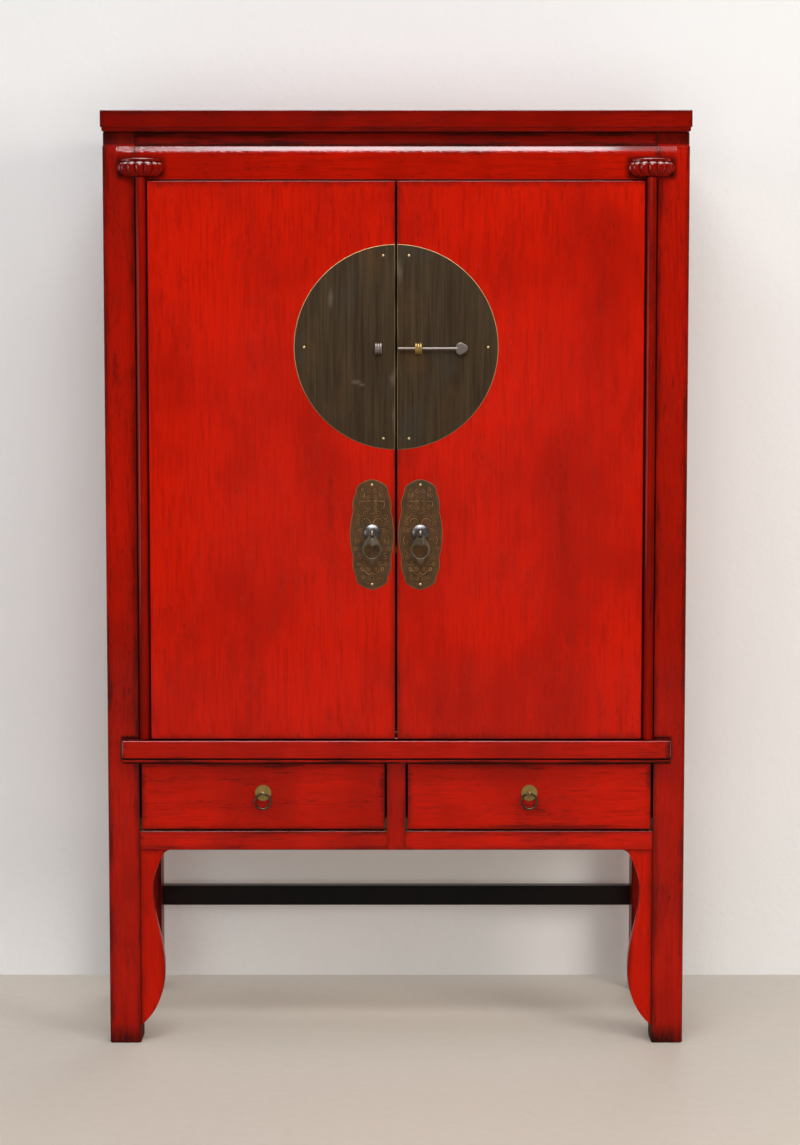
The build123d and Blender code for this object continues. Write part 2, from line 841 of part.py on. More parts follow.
def pull_drop():
    """The drop pull: an open heart with a pointed foot, hung by a hole in its top."""
    hole_z = -drop_rim / 2 - drop_hole_radius
    loop = drop_rim + drop_hole_radius
    shoulder, hip = math.radians(drop_shoulder_angle), math.radians(drop_hip_angle)
    shoulder_x, shoulder_z = drop_radius * math.cos(shoulder), -drop_centre + drop_radius * math.sin(shoulder)
    hip_x, hip_z = drop_radius * math.cos(hip), -drop_centre - drop_radius * math.sin(hip)
    neck = Polyline((-loop, hole_z), (loop, hole_z), (shoulder_x, shoulder_z), (-shoulder_x, shoulder_z), close=True)
    foot = Polyline((-hip_x, hip_z), (hip_x, hip_z), (0, drop_rim / 2 - drop_length), close=True)
    plate = Pos(0, -drop_centre) * RegularPolygon(drop_radius, round_sides) + make_face(neck) + make_face(foot)
    plate += Pos(0, hole_z) * RegularPolygon(loop, round_sides)
    cusp, side, point = (0, -heart_cusp), (heart_width / 2, -heart_middle), (0, -heart_foot)
    over = ThreePointArc(cusp, (0.27 * heart_width, -heart_top), side)
    under = ThreePointArc(side, (0.36 * heart_width, -(heart_middle + 2 * heart_foot) / 3), point)
    plate -= make_face([over, under, flip(under), flip(over)])
    plate -= Pos(0, hole_z) * RegularPolygon(drop_hole_radius, eye_sides)
    middle = Plane(
        (handle_x, drop_eye_y + drop_thickness / 2, drop_rim_z), x_dir=(1, 0, 0), z_dir=(0, -1, 0)
    )
    return extrude(middle * plate, amount=drop_thickness)


def staple_slice(x0, width, share):
    """One ridge of a staple, or at a smaller share a hollow between two."""
    half, reach = share * staple_height / 2, share * staple_reach
    turns = [math.pi * n / staple_flats for n in range(staple_flats + 1)]
    arch = [(disc_face - reach * math.sin(turn), pin_z + half * math.cos(turn)) for turn in turns]
    return moulding(arch, x0, x0 + width)


def staple(x):
    """A ribbed staple that holds the lock pin, centred on x."""
    pitch = ridge_width + ridge_gap
    span = staple_ridges * pitch - ridge_gap
    body = staple_slice(x - span / 2, span, ridge_gap_share)
    for n in range(staple_ridges):
        body += staple_slice(x - span / 2 + n * pitch, ridge_width, 1.0)
    return body - Pos(x, pin_y, pin_z) * Rot(0, 90, 0) * Cylinder(pin_radius + pin_play, span)


def lock_pin():
    """The lock pin, drawn back to the right: a round rod let into a flat leaf."""
    length = pin_length + pin_head_root
    rod = Pos(pin_tip + length / 2, pin_y, pin_z) * Rot(0, 90, 0) * Cylinder(pin_radius, length)
    long, half = pin_head_length, pin_head_height / 2
    root_top, root_low, point = (0, pin_radius), (0, -pin_radius), (long, 0.13 * half)
    top, low = (0.68 * long, 0.75 * half), (0.62 * long, -0.8 * half)
    leaf = [
        ThreePointArc(root_top, (0.3 * long, half), top),
        ThreePointArc(top, (0.9 * long, 0.5 * half), point),
        ThreePointArc(point, (0.88 * long, -0.4 * half), low),
        ThreePointArc(low, (0.26 * long, -half), root_low),
        Line(root_low, root_top),
    ]
    head = facing(leaf, pin_tip + pin_length, pin_y + pin_head_thickness / 2, pin_z, pin_head_thickness)
    return rod + head


# --- Drawers ---
def tails(x0, x1):
    """The dovetails on the front end of a drawer side."""
    y0 = front + drawer_front_thickness
    y1 = y0 - tail_length
    pitch = (drawer_top - drawer_side_drop - drawer_z) / tail_count
    for n in range(tail_count):
        z = drawer_z + pitch * (n + 0.5)
        root, tip = tail_root / 2, tail_root / 2 + tail_flare
        yield moulding(((y0, z - root), (y0, z + root), (y1, z + tip), (y1, z - tip)), x0, x1)


def drawer_sides():
    """Both sides of the right drawer, grooved for its bottom."""
    y0, y1 = front + drawer_front_thickness, front + drawer_length
    sides = []
    for x0, x1 in ((box_near, box_near + drawer_side_thickness), (box_far - drawer_side_thickness, box_far)):
        side = block(x0, x1, y0, y1, drawer_z, drawer_top - drawer_side_drop)
        for tail in tails(x0, x1):
            side += tail
        sides.append(side - drawer_bottom())
    return sides


def drawer_back():
    y1 = front + drawer_length
    x0, x1 = box_near + drawer_side_thickness, box_far - drawer_side_thickness
    low = drawer_z + drawer_bottom_lift + drawer_bottom_thickness
    return block(x0, x1, y1 - drawer_side_thickness, y1, low, drawer_top - drawer_side_drop)


def drawer_bottom():
    """The bottom of the right drawer, in grooves in its sides and front."""
    x0 = box_near + drawer_side_thickness - drawer_groove
    x1 = box_far - drawer_side_thickness + drawer_groove
    y0, y1 = front + drawer_front_thickness - drawer_groove, front + drawer_length
    low = drawer_z + drawer_bottom_lift
    return block(x0, x1, y0, y1, low, low + drawer_bottom_thickness)


def drawer_front():
    y1 = front + drawer_front_thickness
    board = block(drawer_near, drawer_far, front, y1, drawer_z, drawer_top)
    for side in drawer_sides():
        board -= side
    board -= drawer_bottom()
    return board - cotter_hole(drawer_middle, rosette_z)


def rosette():
    sheet = [round_facing(drawer_middle, y, rosette_z, rosette_radius) for y in (front, front - rosette_thickness)]
    return faceted(sheet) - cotter_hole(drawer_middle, rosette_z)


def drawer_ring():
    """A ring of eight-sided bar, bent in short flats and hung in its cotter."""
    flat = RegularPolygon(ring_radius, ring_flat_count)
    bar = Plane(flat.edges()[0] @ 0.5, z_dir=flat.edges()[0] % 0.5) * RegularPolygon(ring_wire, ring_sides)
    ring = sweep(bar, path=flat.faces()[0].outer_wire(), transition=Transition.RIGHT)
    plane = Plane((drawer_middle, ring_eye_y, ring_rim_z - ring_radius), x_dir=(1, 0, 0), z_dir=(0, -1, 0))
    return plane * ring


# --- The pieces, by node ---
def write(name, *pieces):
    solids = [solid for piece in pieces for solid in piece.solids()]
    shape = solids[0] if len(solids) == 1 else Compound(solids)
    export_step(shape, f"parts/{name}.step")


def write_pair(name, *pieces):
    write(name + "_right", *pieces)
    write(name + "_left", *[flip(piece) for piece in pieces])


def main():
    os.makedirs("parts", exist_ok=True)
    write("top_board", top_board())
    write("neck_board", neck_board())
    write_pair("post_front", front_post())
    write_pair("post_rear", rear_post())
    write("top_rail_front", top_rail())
    write("sill_rail", sill_rail())
    write("bottom_rail_front", bottom_rail())
    write("drawer_divider", drawer_divider())
    write_pair("leg_bracket", leg_bracket())
    write_pair("side_rails", *[side_rail(level) for level in side_levels])
    write_pair("side_panels", *[side_panel(*bay) for bay in side_bays])
    write("back_frame", *[back_rail(level) for level in side_levels], back_stile())
    write("back_panels", *[back_panel(*bay) for bay in back_bays])
    write("rear_stretcher", rear_stretcher())
    write("compartment_floor", compartment_floor())
    write("bottom_board", bottom_board())
    write("drawer_runners", side_runner(), flip(side_runner()), middle_runner())
    write("shelves", *[shelf(z) for z in shelf_levels()])
    write("shelf_cleats", *cleats(), *[flip(cleat) for cleat in cleats()])
    write_pair("pivot_socket", pivot_socket())

    write_pair("door_panel", door_panel())
    write_pair("door_pivot_stile", pivot_stile())
    write_pair("door_battens", *battens())
    write_pair("disc_half", disc_half())
    write_pair("door_nails", *door_nails())
    write_pair("handle_plate", handle_plate())
    write_pair("pull_boss", pull_boss())
    write_pair("pull_cotter", cotter(handle_x, boss_z, drop_eye_y, door_back))
    write_pair("pull_drop", pull_drop())
    write("staple_right", staple(staple_right_x))
    write("staple_left", staple(staple_left_x))
    write("lock_pin", lock_pin())

    write_pair("drawer_front", drawer_front())
    write_pair("drawer_box", *drawer_sides(), drawer_back())
    write_pair("drawer_bottom", drawer_bottom())
    write_pair("drawer_rosette", rosette())
    write_pair("drawer_cotter", cotter(drawer_middle, rosette_z, ring_eye_y, front + drawer_front_thickness))
    write_pair("drawer_ring", drawer_ring())


main()
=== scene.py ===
# %% [markdown]
# # A red lacquered wedding cabinet
# The cabinet's wood and brass come from the CAD model as one fixed frame, in metres, with X to the right,
# Y to the back and Z up. The plain joinery keeps its CAD shape and gets a finish here; the carved and the
# cast pieces are made again as smooth surfaces. Everything is placed by reading the CAD boxes.

# %% Load the frame
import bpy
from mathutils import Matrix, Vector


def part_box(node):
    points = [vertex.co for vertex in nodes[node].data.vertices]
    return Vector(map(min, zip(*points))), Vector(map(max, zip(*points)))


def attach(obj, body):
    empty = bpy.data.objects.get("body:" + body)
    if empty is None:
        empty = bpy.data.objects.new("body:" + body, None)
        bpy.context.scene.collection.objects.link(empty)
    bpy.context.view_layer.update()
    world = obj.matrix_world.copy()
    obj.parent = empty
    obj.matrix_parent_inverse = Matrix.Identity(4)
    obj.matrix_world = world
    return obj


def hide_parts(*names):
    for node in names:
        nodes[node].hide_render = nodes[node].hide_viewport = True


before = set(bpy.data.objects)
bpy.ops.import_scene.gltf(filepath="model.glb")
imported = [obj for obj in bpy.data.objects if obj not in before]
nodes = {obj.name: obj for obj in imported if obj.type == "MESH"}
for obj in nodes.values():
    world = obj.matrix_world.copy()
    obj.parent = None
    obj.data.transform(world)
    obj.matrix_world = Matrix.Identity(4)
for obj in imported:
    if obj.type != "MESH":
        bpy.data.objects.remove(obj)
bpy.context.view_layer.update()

import math

import bpy
import numpy as np

SIDES = {"right": 1.0, "left": -1.0}
MM = 0.001

# %% [markdown]
# ## Camera
# A tall piece is taken from a standing height with a long lens, so that its posts stay almost parallel.
# The camera tips down a few degrees. The lens length is for a 36 mm sensor along the picture's long side.

# %% Camera
lens_mm, eye_height, eye_distance, tip_down, eye_right = 78.87, 1.3416, 4.9413, 4.567, 0.0075
front_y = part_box("post_front_right")[0].y
camera = bpy.data.objects.new("camera", bpy.data.cameras.new("camera"))
bpy.context.scene.collection.objects.link(camera)
camera.data.lens = lens_mm
camera.location = (eye_right, front_y - eye_distance, eye_height)
camera.rotation_euler = (math.radians(90 - tip_down), 0, 0)
bpy.context.scene.camera = camera
print("camera stands", round(eye_distance, 2), "m in front of the posts")

# %% [markdown]
# ## Shader notes
# A finish is a small graph of shader nodes. Written out one by one, such graphs are long and hard to read,
# so a sketch object adds a node, sets its inputs by name, links what comes from other nodes, and hands back
# the output. Then a finish reads like arithmetic.

# %% A sketch of shader nodes
class Sketch:
    """Adds nodes to one node tree: numbers and colours are set, sockets are linked."""

    def __init__(self, tree):
        self.tree = tree
        tree.nodes.clear()

    def node(self, kind, inputs=(), **settings):
        made = self.tree.nodes.new("ShaderNode" + kind)
        for name, value in settings.items():
            setattr(made, name, value)
        for name, value in dict(inputs).items():
            self.put(made.inputs[name], value)
        return made

    def put(self, socket, value):
        if isinstance(value, bpy.types.NodeSocket):
            self.tree.links.new(value, socket)
        elif socket.type == "RGBA" and len(value) == 3:
            socket.default_value = (*value, 1.0)
        else:
            socket.default_value = value

    def math(self, operation, a, b=0.0, clamp=False):
        return self.node("Math", {0: a, 1: b}, operation=operation, use_clamp=clamp).outputs[0]

    def plus(self, a, b):
        return self.math("ADD", a, b)

    def minus(self, a, b, clamp=False):
        return self.math("SUBTRACT", a, b, clamp)

    def times(self, a, b, clamp=False):
        return self.math("MULTIPLY", a, b, clamp)

    def larger(self, a, b, clamp=False):
        return self.math("MAXIMUM", a, b, clamp)

    def size(self, a):
        return self.math("ABSOLUTE", a)

    def vector(self, operation, a, b=(0.0, 0.0, 0.0)):
        return self.node("VectorMath", {0: a, 1: b}, operation=operation).outputs[0]

    def length(self, a):
        return self.node("VectorMath", {0: a}, operation="LENGTH").outputs["Value"]

    def axes(self, a):
        return self.node("SeparateXYZ", {0: a}).outputs

    def noise(self, at, scale, detail=3.0, roughness=0.5):
        """Noise about 0.5, with its own scale on each axis, in cycles a metre."""
        stretched = self.vector("MULTIPLY", at, scale)
        inputs = {"Vector": stretched, "Scale": 1.0, "Detail": detail, "Roughness": roughness}
        return self.node("TexNoise", inputs).outputs[0]

    def band(self, value, low, high, to_low=0.0, to_high=1.0):
        """A smooth step from to_low to to_high as value goes from low to high."""
        inputs = {0: value, 1: low, 2: high, 3: to_low, 4: to_high}
        return self.node("MapRange", inputs, interpolation_type="SMOOTHSTEP").outputs[0]

    def mix(self, share, a, b):
        return self.node("Mix", {0: share, 6: a, 7: b}, data_type="RGBA").outputs[2]

    def finish(self, color, roughness, height, depth, **more):
        """The surface itself: colour, roughness and fine relief of this depth in metres."""
        bump = self.node("Bump", {"Height": height, "Distance": depth, "Strength": 1.0})
        inputs = {"Base Color": color, "Roughness": roughness, "Normal": bump.outputs[0]}
        inputs.update({name.replace("_", " "): value for name, value in more.items()})
        shader = self.node("BsdfPrincipled", inputs)
        self.node("OutputMaterial", {0: shader.outputs[0]})


def new_finish(name):
    """A new material, its sketch, and the place of each point on the piece, in metres."""
    material = bpy.data.materials.new(name)
    material.use_nodes = True
    sketch = Sketch(material.node_tree)
    return material, sketch, sketch.node("TexCoord").outputs["Object"]


def linear(red, green, blue):
    """A screen colour of 0 to 255 as the light values that the shaders use."""
    c = np.array([red, green, blue]) / 255
    return tuple(float(v) for v in np.where(c <= 0.04045, c / 12.92, ((c + 0.055) / 1.055) ** 2.4))


print("a mid grey of 128 is", round(linear(128, 128, 128)[0], 3), "in light")

# %% [markdown]
# ## Studio
# Red lacquer is glossy and deep. What it mirrors from the front should be dim, or the red turns to pink. So only
# one lamp is mirrored: it hangs over the cabinet, for the bevels and the edges that face up. The others fill, two
# from the sides, one from low in front and one from behind. A wall stands close behind the cabinet, and light and
# a camera pass through it from behind, so the back is lit and seen as well. The world is the backdrop. It is pale
# to the camera. To gloss it is pale behind and above, with a narrow window on the left, and dim in front.

# %% Lamps, floor and backdrop
def lamp(name, place, aim, size, watts, color=(1.0, 1.0, 1.0), mirrored=True):
    """A soft rectangular lamp that looks at a point. A lamp that only fills isn't mirrored in gloss."""
    data = bpy.data.lights.new(name, "AREA")
    data.shape, data.size, data.size_y, data.energy, data.color = "RECTANGLE", *size, watts, color
    made = bpy.data.objects.new(name, data)
    bpy.context.scene.collection.objects.link(made)
    made.location = place
    made.visible_glossy, made.visible_camera = mirrored, False
    away = made.location - type(made.location)(aim)
    made.rotation_euler = away.to_track_quat("Z", "Y").to_euler()


lamp("lamp_front", (-0.22, -2.4, 3.5), (-0.1, -0.2, 1.2), (1.76, 0.6), 42, (0.94, 0.97, 1.0))
lamp("lamp_right", (2.9, -3.2, 1.9), (0, 0, 0.9), (1.6, 1.6), 68, (1.0, 0.95, 0.88), False)
lamp("lamp_left", (-2.9, -3.2, 1.9), (0, 0, 0.9), (1.6, 1.6), 17, (0.94, 0.97, 1.0), False)
lamp("lamp_low", (0.1, -4.6, 1.0), (0, 0, 0.8), (1.6, 1.2), 44, (1.0, 0.98, 0.96), False)
lamp("lamp_back", (0.5, 3.5, 1.5), (0, 0, 1.0), (2.2, 1.8), 72, mirrored=False)


def sheet(name, corners, material):
    """A flat piece of the studio. It isn't part of the cabinet."""
    mesh = bpy.data.meshes.new(name)
    mesh.from_pydata(corners, [], [(0, 1, 2, 3)])
    mesh.materials.append(material)
    made = bpy.data.objects.new(name, mesh)
    bpy.context.scene.collection.objects.link(made)
    return made


studio_half, floor_front, wall_y, wall_top = 4.0, -7.0, 0.34, 3.6
pale_floor, s, at = new_finish("pale floor")
speckle = s.noise(at, (40, 40, 40), 4)
color = s.mix(speckle, linear(214, 204, 191), linear(222, 213, 201))
dimming = s.times(s.node("LightPath").outputs["Is Glossy Ray"], 0.97)  # lacquer that mirrors a dim floor stays deep
color = s.mix(dimming, color, (0.0, 0.0, 0.0))
s.finish(color, 0.55, speckle, 0.0004, Specular_IOR_Level=0.1)
left, right, back = -studio_half, studio_half, studio_half
floor_corners = [(left, floor_front, 0), (right, floor_front, 0), (right, back, 0), (left, back, 0)]
sheet("floor", floor_corners, pale_floor)

plaster, s, at = new_finish("plaster wall")
rough_coat = s.noise(at, (22, 22, 22), 5, 0.6)
s.finish(linear(236, 236, 235), 0.8, rough_coat, 0.002)
surface = next(node for node in plaster.node_tree.nodes if node.type == "BSDF_PRINCIPLED")
from_behind = s.node("NewGeometry").outputs["Backfacing"]
clear = s.node("BsdfTransparent").outputs[0]
wall_mix = s.node("MixShader", {0: from_behind, 1: surface.outputs[0], 2: clear})
s.node("OutputMaterial", {0: wall_mix.outputs[0]}).is_active_output = True
wall_corners = [(left, wall_y, 0), (right, wall_y, 0), (right, wall_y, wall_top), (left, wall_y, wall_top)]
wall = sheet("wall", wall_corners, plaster)
wall.visible_shadow = wall.visible_diffuse = False  # so that the light behind it reaches the cabinet's back

world = bpy.data.worlds.new("studio")
bpy.context.scene.world = world
world.use_nodes = True
s = Sketch(world.node_tree)
toward = s.axes(s.node("TexCoord").outputs["Generated"])
ray = s.node("LightPath").outputs
behind = s.band(toward["Y"], -0.1, 0.5, 0.015, 0.55)
above = s.larger(s.band(toward["Z"], 0.6, 0.8, 0.0, 5.0), s.band(toward["Z"], 0.87, 0.95, 0.0, 12.0))
window = s.times(s.band(toward["X"], -0.86, -0.8, 2.5, 0.0), s.band(toward["Y"], -0.2, 0.0, 1.0, 0.0))
window = s.times(window, s.band(s.size(toward["Z"]), 0.25, 0.35, 1.0, 0.0))
mirrored = s.larger(s.larger(behind, above), window)
seen = s.larger(ray["Is Camera Ray"], ray["Is Transmission Ray"])
fill = s.times(ray["Is Glossy Ray"], mirrored)
plain = s.minus(1.0, s.larger(ray["Is Glossy Ray"], seen))
backdrop_white, room_light = 0.80, 0.28
strength = s.plus(s.times(seen, backdrop_white), s.plus(fill, s.times(plain, room_light)))
backdrop = s.node("Background", {"Color": (0.97, 0.98, 1.0), "Strength": strength})
s.node("OutputWorld", {0: backdrop.outputs[0]})
bpy.context.scene.view_settings.view_transform = "Standard"
print("studio: five soft lamps, a pale floor and a plaster wall that is clear from behind")

# %% [markdown]
# ## Red lacquer
# The lacquer lies in thin coats over a dark ground, rubbed back until the ground shows along the arrises, in
# the joints and in short strokes along the grain. Three things make it: slow clouds of deeper and brighter
# red, brush streaks along the grain, and a dark rub near the edges. A board is close to a box, so the
# distance to its nearest edge is the middle one of its three distances to the box's faces: the smallest is
# the face itself, and the largest is the far way round. Shade is painted into the colour as well: an occlusion
# mask darkens corners and recesses, and darkenings round given boxes paint the shade under the cap's overhang,
# in the sill's groove and under the sill, while round the sockets and the sill's ends they are grime.

# %% The lacquer finish
RED, DEEP_RED, GROUND = linear(196, 22, 0), linear(150, 15, 1), linear(26, 7, 3)
STROKES = {"X": (13.0, 240.0, 240.0), "Y": (240.0, 13.0, 240.0), "Z": (240.0, 240.0, 13.0)}
FLECKS = {"X": (60.0, 520.0, 520.0), "Y": (520.0, 60.0, 520.0), "Z": (520.0, 520.0, 60.0)}
STAINS = {"X": (5.0, 26.0, 26.0), "Y": (26.0, 5.0, 26.0), "Z": (22.0, 22.0, 5.0)}


def edge_distance(s, at, low, high):
    """How far a point of a boxy piece is from its nearest edge."""
    inward = s.vector("MINIMUM", s.vector("SUBTRACT", at, low), s.vector("SUBTRACT", high, at))
    x, y, z = s.axes(inward)
    least = s.math("MINIMUM", s.math("MINIMUM", x, y), z)
    most = s.larger(s.larger(x, y), z)
    total = s.plus(s.plus(x, y), z)
    return s.minus(s.minus(total, least), most)


def halo(s, at, half_x, low_z, high_z, middle_x, reach, strength=1.0):
    """A darkening round a box, the same on both sides: full at its outline, gone at this reach. Round the sockets
    and the sill's ends it is grime, at the feet it only darkens towards the floor, and at the neck, in the sill's
    groove and under the sill it is painted shade.
    """
    x, _, z = s.axes(at)
    out_x = s.minus(s.size(s.minus(s.size(x), middle_x)), half_x)
    out_z = s.minus(s.size(s.minus(z, (low_z + high_z) / 2)), (high_z - low_z) / 2)
    out_x, out_z = s.larger(out_x, 0.0), s.larger(out_z, 0.0)
    far = s.math("SQRT", s.plus(s.times(out_x, out_x), s.times(out_z, out_z)))
    return s.band(far, 0.0, reach, strength, 0.0)


def lacquer(name, low, high, grain, tone, rub, worn, gloss, stained, halos=(), coat=1.0, dull=None):
    """Lacquer for a piece between two corners: tone scales the red, rub the dark of the edges, stained the
    dark streaks away from them, worn is how far the arrises are rounded, in millimetres, and dull is a
    function that gives the roughness that wear adds at a point, and takes the coat's shine away there."""
    material, s, at = new_finish(name)
    clouds = s.noise(at, (4.0, 4.0, 2.5), 4, 0.6)
    streaks = s.noise(at, STROKES[grain], 5, 0.72)
    patches = s.noise(at, STAINS[grain], 5, 0.68)
    color = s.mix(s.band(clouds, 0.34, 0.60, 0.25, 1.0), DEEP_RED, RED)
    color = s.mix(s.band(streaks, 0.34, 0.56, 0.75, 0.0), color, DEEP_RED)
    edge = edge_distance(s, at, low, high)
    ragged = s.plus(s.times(streaks, 0.55), s.times(patches, 0.45))
    stain = s.times(s.band(ragged, 0.535, 0.66, 0.0, 0.75), stained)
    near = s.minus(ragged, s.times(edge, 11.0))
    soft = s.times(s.band(near, 0.36, 0.54, 0.0, 0.95), rub, clamp=True)
    line = s.times(s.band(edge, 0.0003, 0.0020, 0.95, 0.0), rub, clamp=True)
    flecks = s.band(s.noise(at, FLECKS[grain], 2), 0.60, 0.70, 0.0, 0.8)
    flecks = s.times(flecks, s.band(patches, 0.42, 0.66))
    # Painted shade: an ambient occlusion mask darkens the colour in corners, recesses and between parts.
    corner = s.node("AmbientOcclusion", {"Distance": 0.010}, samples=4).outputs["AO"]
    occlusion_shade = s.band(corner, 0.2, 0.8, 0.9, 0.0)
    soft = s.larger(soft, stain)
    dark = s.larger(s.larger(soft, line), s.larger(flecks, occlusion_shade))
    # Darkenings round given boxes: grime round the sockets and the sill's ends, darker towards the floor at the feet,
    # and painted shade at the neck, in the sill's groove and under the sill.
    for spot in halos:
        grime_and_shade = s.times(halo(s, at, *spot), s.band(patches, 0.3, 0.6, 0.55, 0.98), clamp=True)
        dark = s.larger(dark, grime_and_shade, clamp=True)
    color = s.mix(dark, s.vector("MULTIPLY", color, (tone, tone, tone)), GROUND)
    relief = s.plus(s.times(streaks, 0.5), s.noise(at, (300, 300, 300), 3))
    rounded = s.node("Bevel", {"Radius": worn * MM}, samples=4).outputs[0]
    bump = s.node("Bump", {"Height": relief, "Distance": 0.00022, "Strength": 1.0, "Normal": rounded})
    rough = s.band(patches, 0.3, 0.7, gloss, gloss + 0.08)
    if dull:
        scuffed = dull(s, at)
        rough = s.plus(rough, scuffed)
        coat = s.minus(1.0, s.times(scuffed, 2.0), clamp=True)
    inputs = {"Base Color": color, "Roughness": rough, "Normal": bump.outputs[0], "Specular IOR Level": 0.1,
              "Coat Weight": coat, "Coat Roughness": 0.07, "Coat Normal": rounded}
    s.node("OutputMaterial", {0: s.node("BsdfPrincipled", inputs).outputs[0]})
    return material


print("the ground under the red is", [round(v, 3) for v in GROUND])

# %% [markdown]
# ## Joinery
# Boards and rails keep their CAD shape. Their meshes are loose triangles, so a Weld joins them first and a
# Bevel then breaks every arris by less than a millimetre, which is what catches the light on real work. A
# rail's box ends with its tenons, hidden in the posts, so the lacquer is told where the visible part ends.

# %% Break the arrises
def dress(name, material, width=0.0007):
    """Gives a CAD node its finish, joins its triangles and rounds its sharp edges by this width."""
    piece = nodes[name]
    piece.data.materials.clear()
    piece.data.materials.append(material)
    piece.modifiers.new("weld", "WELD").merge_threshold = 0.00001
    bevel = piece.modifiers.new("arris", "BEVEL")
    bevel.width, bevel.segments, bevel.limit_method = width, 2, "ANGLE"
    bevel.angle_limit, bevel.use_clamp_overlap = math.radians(32), False


def visible_box(name, inside):
    """A CAD node's box, held within the inner faces of the posts where it is tenoned into them."""
    low, high = (list(corner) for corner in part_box(name))
    if inside:
        low[0], high[0] = max(low[0], -post_in), min(high[0], post_in)
    return low, high


post_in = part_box("post_front_right")[0].x
socket_low, socket_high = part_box("pivot_socket_right")
sill_low, sill_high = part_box("sill_rail")
neck_low, neck_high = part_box("neck_board")
socket_half, socket_x = (socket_high.x - socket_low.x) / 2, (socket_low.x + socket_high.x) / 2
# half width, lower level, upper level, how far its middle is from the cabinet's middle, reach, strength
socket_halo = (socket_half - 0.006, socket_low.z + 0.004, socket_high.z - 0.003, socket_x, 0.016)
sill_halo = (0.03, sill_low.z + 0.004, sill_high.z - 0.012, sill_high.x - 0.03, 0.009)
foot_halo = (0.1, 0.0, 0.004, sill_high.x, 0.05)
# Painted shade: this darkens the posts' tops beside the neck, where the cap's overhang shades them.
neck_shade_halo = (0.1, neck_low.z + 0.006, neck_high.z, sill_high.x, 0.004, 0.85)
# Painted shade: a dark line in the sill's groove, and a dark band along the bottom of its bead and under it.
groove_shade_halo = (sill_high.x, sill_low.z + 0.0078, sill_low.z + 0.0102, 0.0, 0.0014, 1.5)
under_sill_shade_halo = (sill_high.x, sill_low.z - 0.001, sill_low.z + 0.0022, 0.0, 0.0022, 1.2)
bevel_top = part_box("top_rail_front")[1].z
bevel_low = bevel_top - 12 * MM


def dull_bevel(s, at):
    """The frame's bevel is glossy along its upper side. Low down and at its left end the gloss breaks up."""
    x, _, z = s.axes(at)
    specks = s.noise(at, (260, 260, 420), 3)
    left_end = s.band(x, -0.58, -0.22, 0.9, 0.0)
    fade = s.larger(s.band(z, bevel_low + 2 * MM, bevel_low + 4.5 * MM, 1.0, 0.0), left_end)
    fade = s.times(fade, s.band(z, bevel_low - 1 * MM, bevel_low))
    return s.times(s.times(fade, s.band(specks, 0.3, 0.55)), 0.5)


def dull_bead(s, at):
    """Polish never reached the groove of the sill and the bead below it."""
    _, _, z = s.axes(at)
    return s.band(z, sill_low.z + 12 * MM, sill_low.z + 14 * MM, 0.45, 0.0)


def dull_top(s, at):
    """The upper face of the cap has gone dull with dust and wear. Its front edge keeps its polish."""
    _, y, z = s.axes(at)
    cap_low, cap_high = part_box("top_board")
    upper = s.band(z, cap_high.z - 0.7 * MM, cap_high.z - 0.2 * MM, 0.0, 0.35)
    return s.times(upper, s.band(y, cap_low.y + 1.5 * MM, cap_low.y + 3 * MM))


# name: grain, tone, rub, tenoned into the posts, roundness of the arrises in millimetres, gloss, stains, halos
JOINERY = {
    "top_board": ("X", 0.43, 0.6, False, 1.8, 0.2, 0.7, ()),
    # The neck board's low tone is painted shade, from the cap's overhang above it.
    "neck_board": ("X", 0.36, 0.9, True, 1.0, 0.42, 0.5, ()),
    "post_front": ("Z", 0.72, 0.75, False, 1.5, 0.22, 0.8, (socket_halo, sill_halo, foot_halo, neck_shade_halo)),
    "post_rear": ("Z", 0.42, 0.9, False, 0.8, 0.36, 0.8, (foot_halo,)),
    "top_rail_front": ("X", 0.76, 0.7, True, 1.2, 0.12, 0.5, (socket_halo,)),
    "sill_rail": ("X", 0.75, 0.9, False, 2.4, 0.18, 0.9, (groove_shade_halo, under_sill_shade_halo)),
    "bottom_rail_front": ("X", 0.90, 0.7, True, 2.0, 0.2, 0.9, ()),
    "drawer_divider": ("Z", 0.80, 0.6, False, 1.0, 0.22, 0.8, ()),
    "leg_bracket": ("Z", 0.90, 0.6, False, 0.6, 0.28, 0.8, (foot_halo,)),
    "side_rails": ("Y", 0.68, 0.6, False, 1.0, 0.24, 0.6, ()),
    "side_panels": ("Z", 0.85, 0.5, False, 1.0, 0.24, 0.5, ()),
    "door_panel": ("Z", 0.94, 0.55, False, 1.6, 0.22, 0.45, ()),
    "door_pivot_stile": ("Z", 0.50, 0.6, False, 0.8, 0.18, 0.6, ()),
    "drawer_front": ("X", 0.89, 0.75, False, 1.2, 0.22, 1.0, ()),
}
COAT = {"neck_board": 0.0, "door_pivot_stile": 0.22, "leg_bracket": 0.15, "post_rear": 0.1, "drawer_front": 0.6}
DULL = {"top_rail_front": dull_bevel, "post_front": dull_bevel, "sill_rail": dull_bead, "top_board": dull_top}


def both(stem):
    """The node of this name, or its right and left ones."""
    return [stem] if stem in nodes else [f"{stem}_{side}" for side in SIDES]


for stem, (grain, tone, rub, tenoned, worn, gloss, stained, halos) in JOINERY.items():
    for name in both(stem):
        box, finish_name = visible_box(name, tenoned), f"red lacquer, {name}"
        looks = (grain, tone, rub, worn, gloss, stained, halos, COAT.get(stem, 1.0), DULL.get(stem))
        dress(name, lacquer(finish_name, *box, *looks))
print("lacquered", len(JOINERY), "kinds of joinery")

# %% [markdown]
# ## Bare and blackened wood
# The back, the shelves and the drawer boxes are never lacquered. They are plain planed softwood: long growth
# rings that drift along the board, with a fine pore along them. The stretcher between the back legs is black.

# %% Wood finishes
RINGS = {"X": (0.9, 15.0, 15.0), "Y": (15.0, 0.9, 15.0), "Z": (15.0, 15.0, 0.9)}


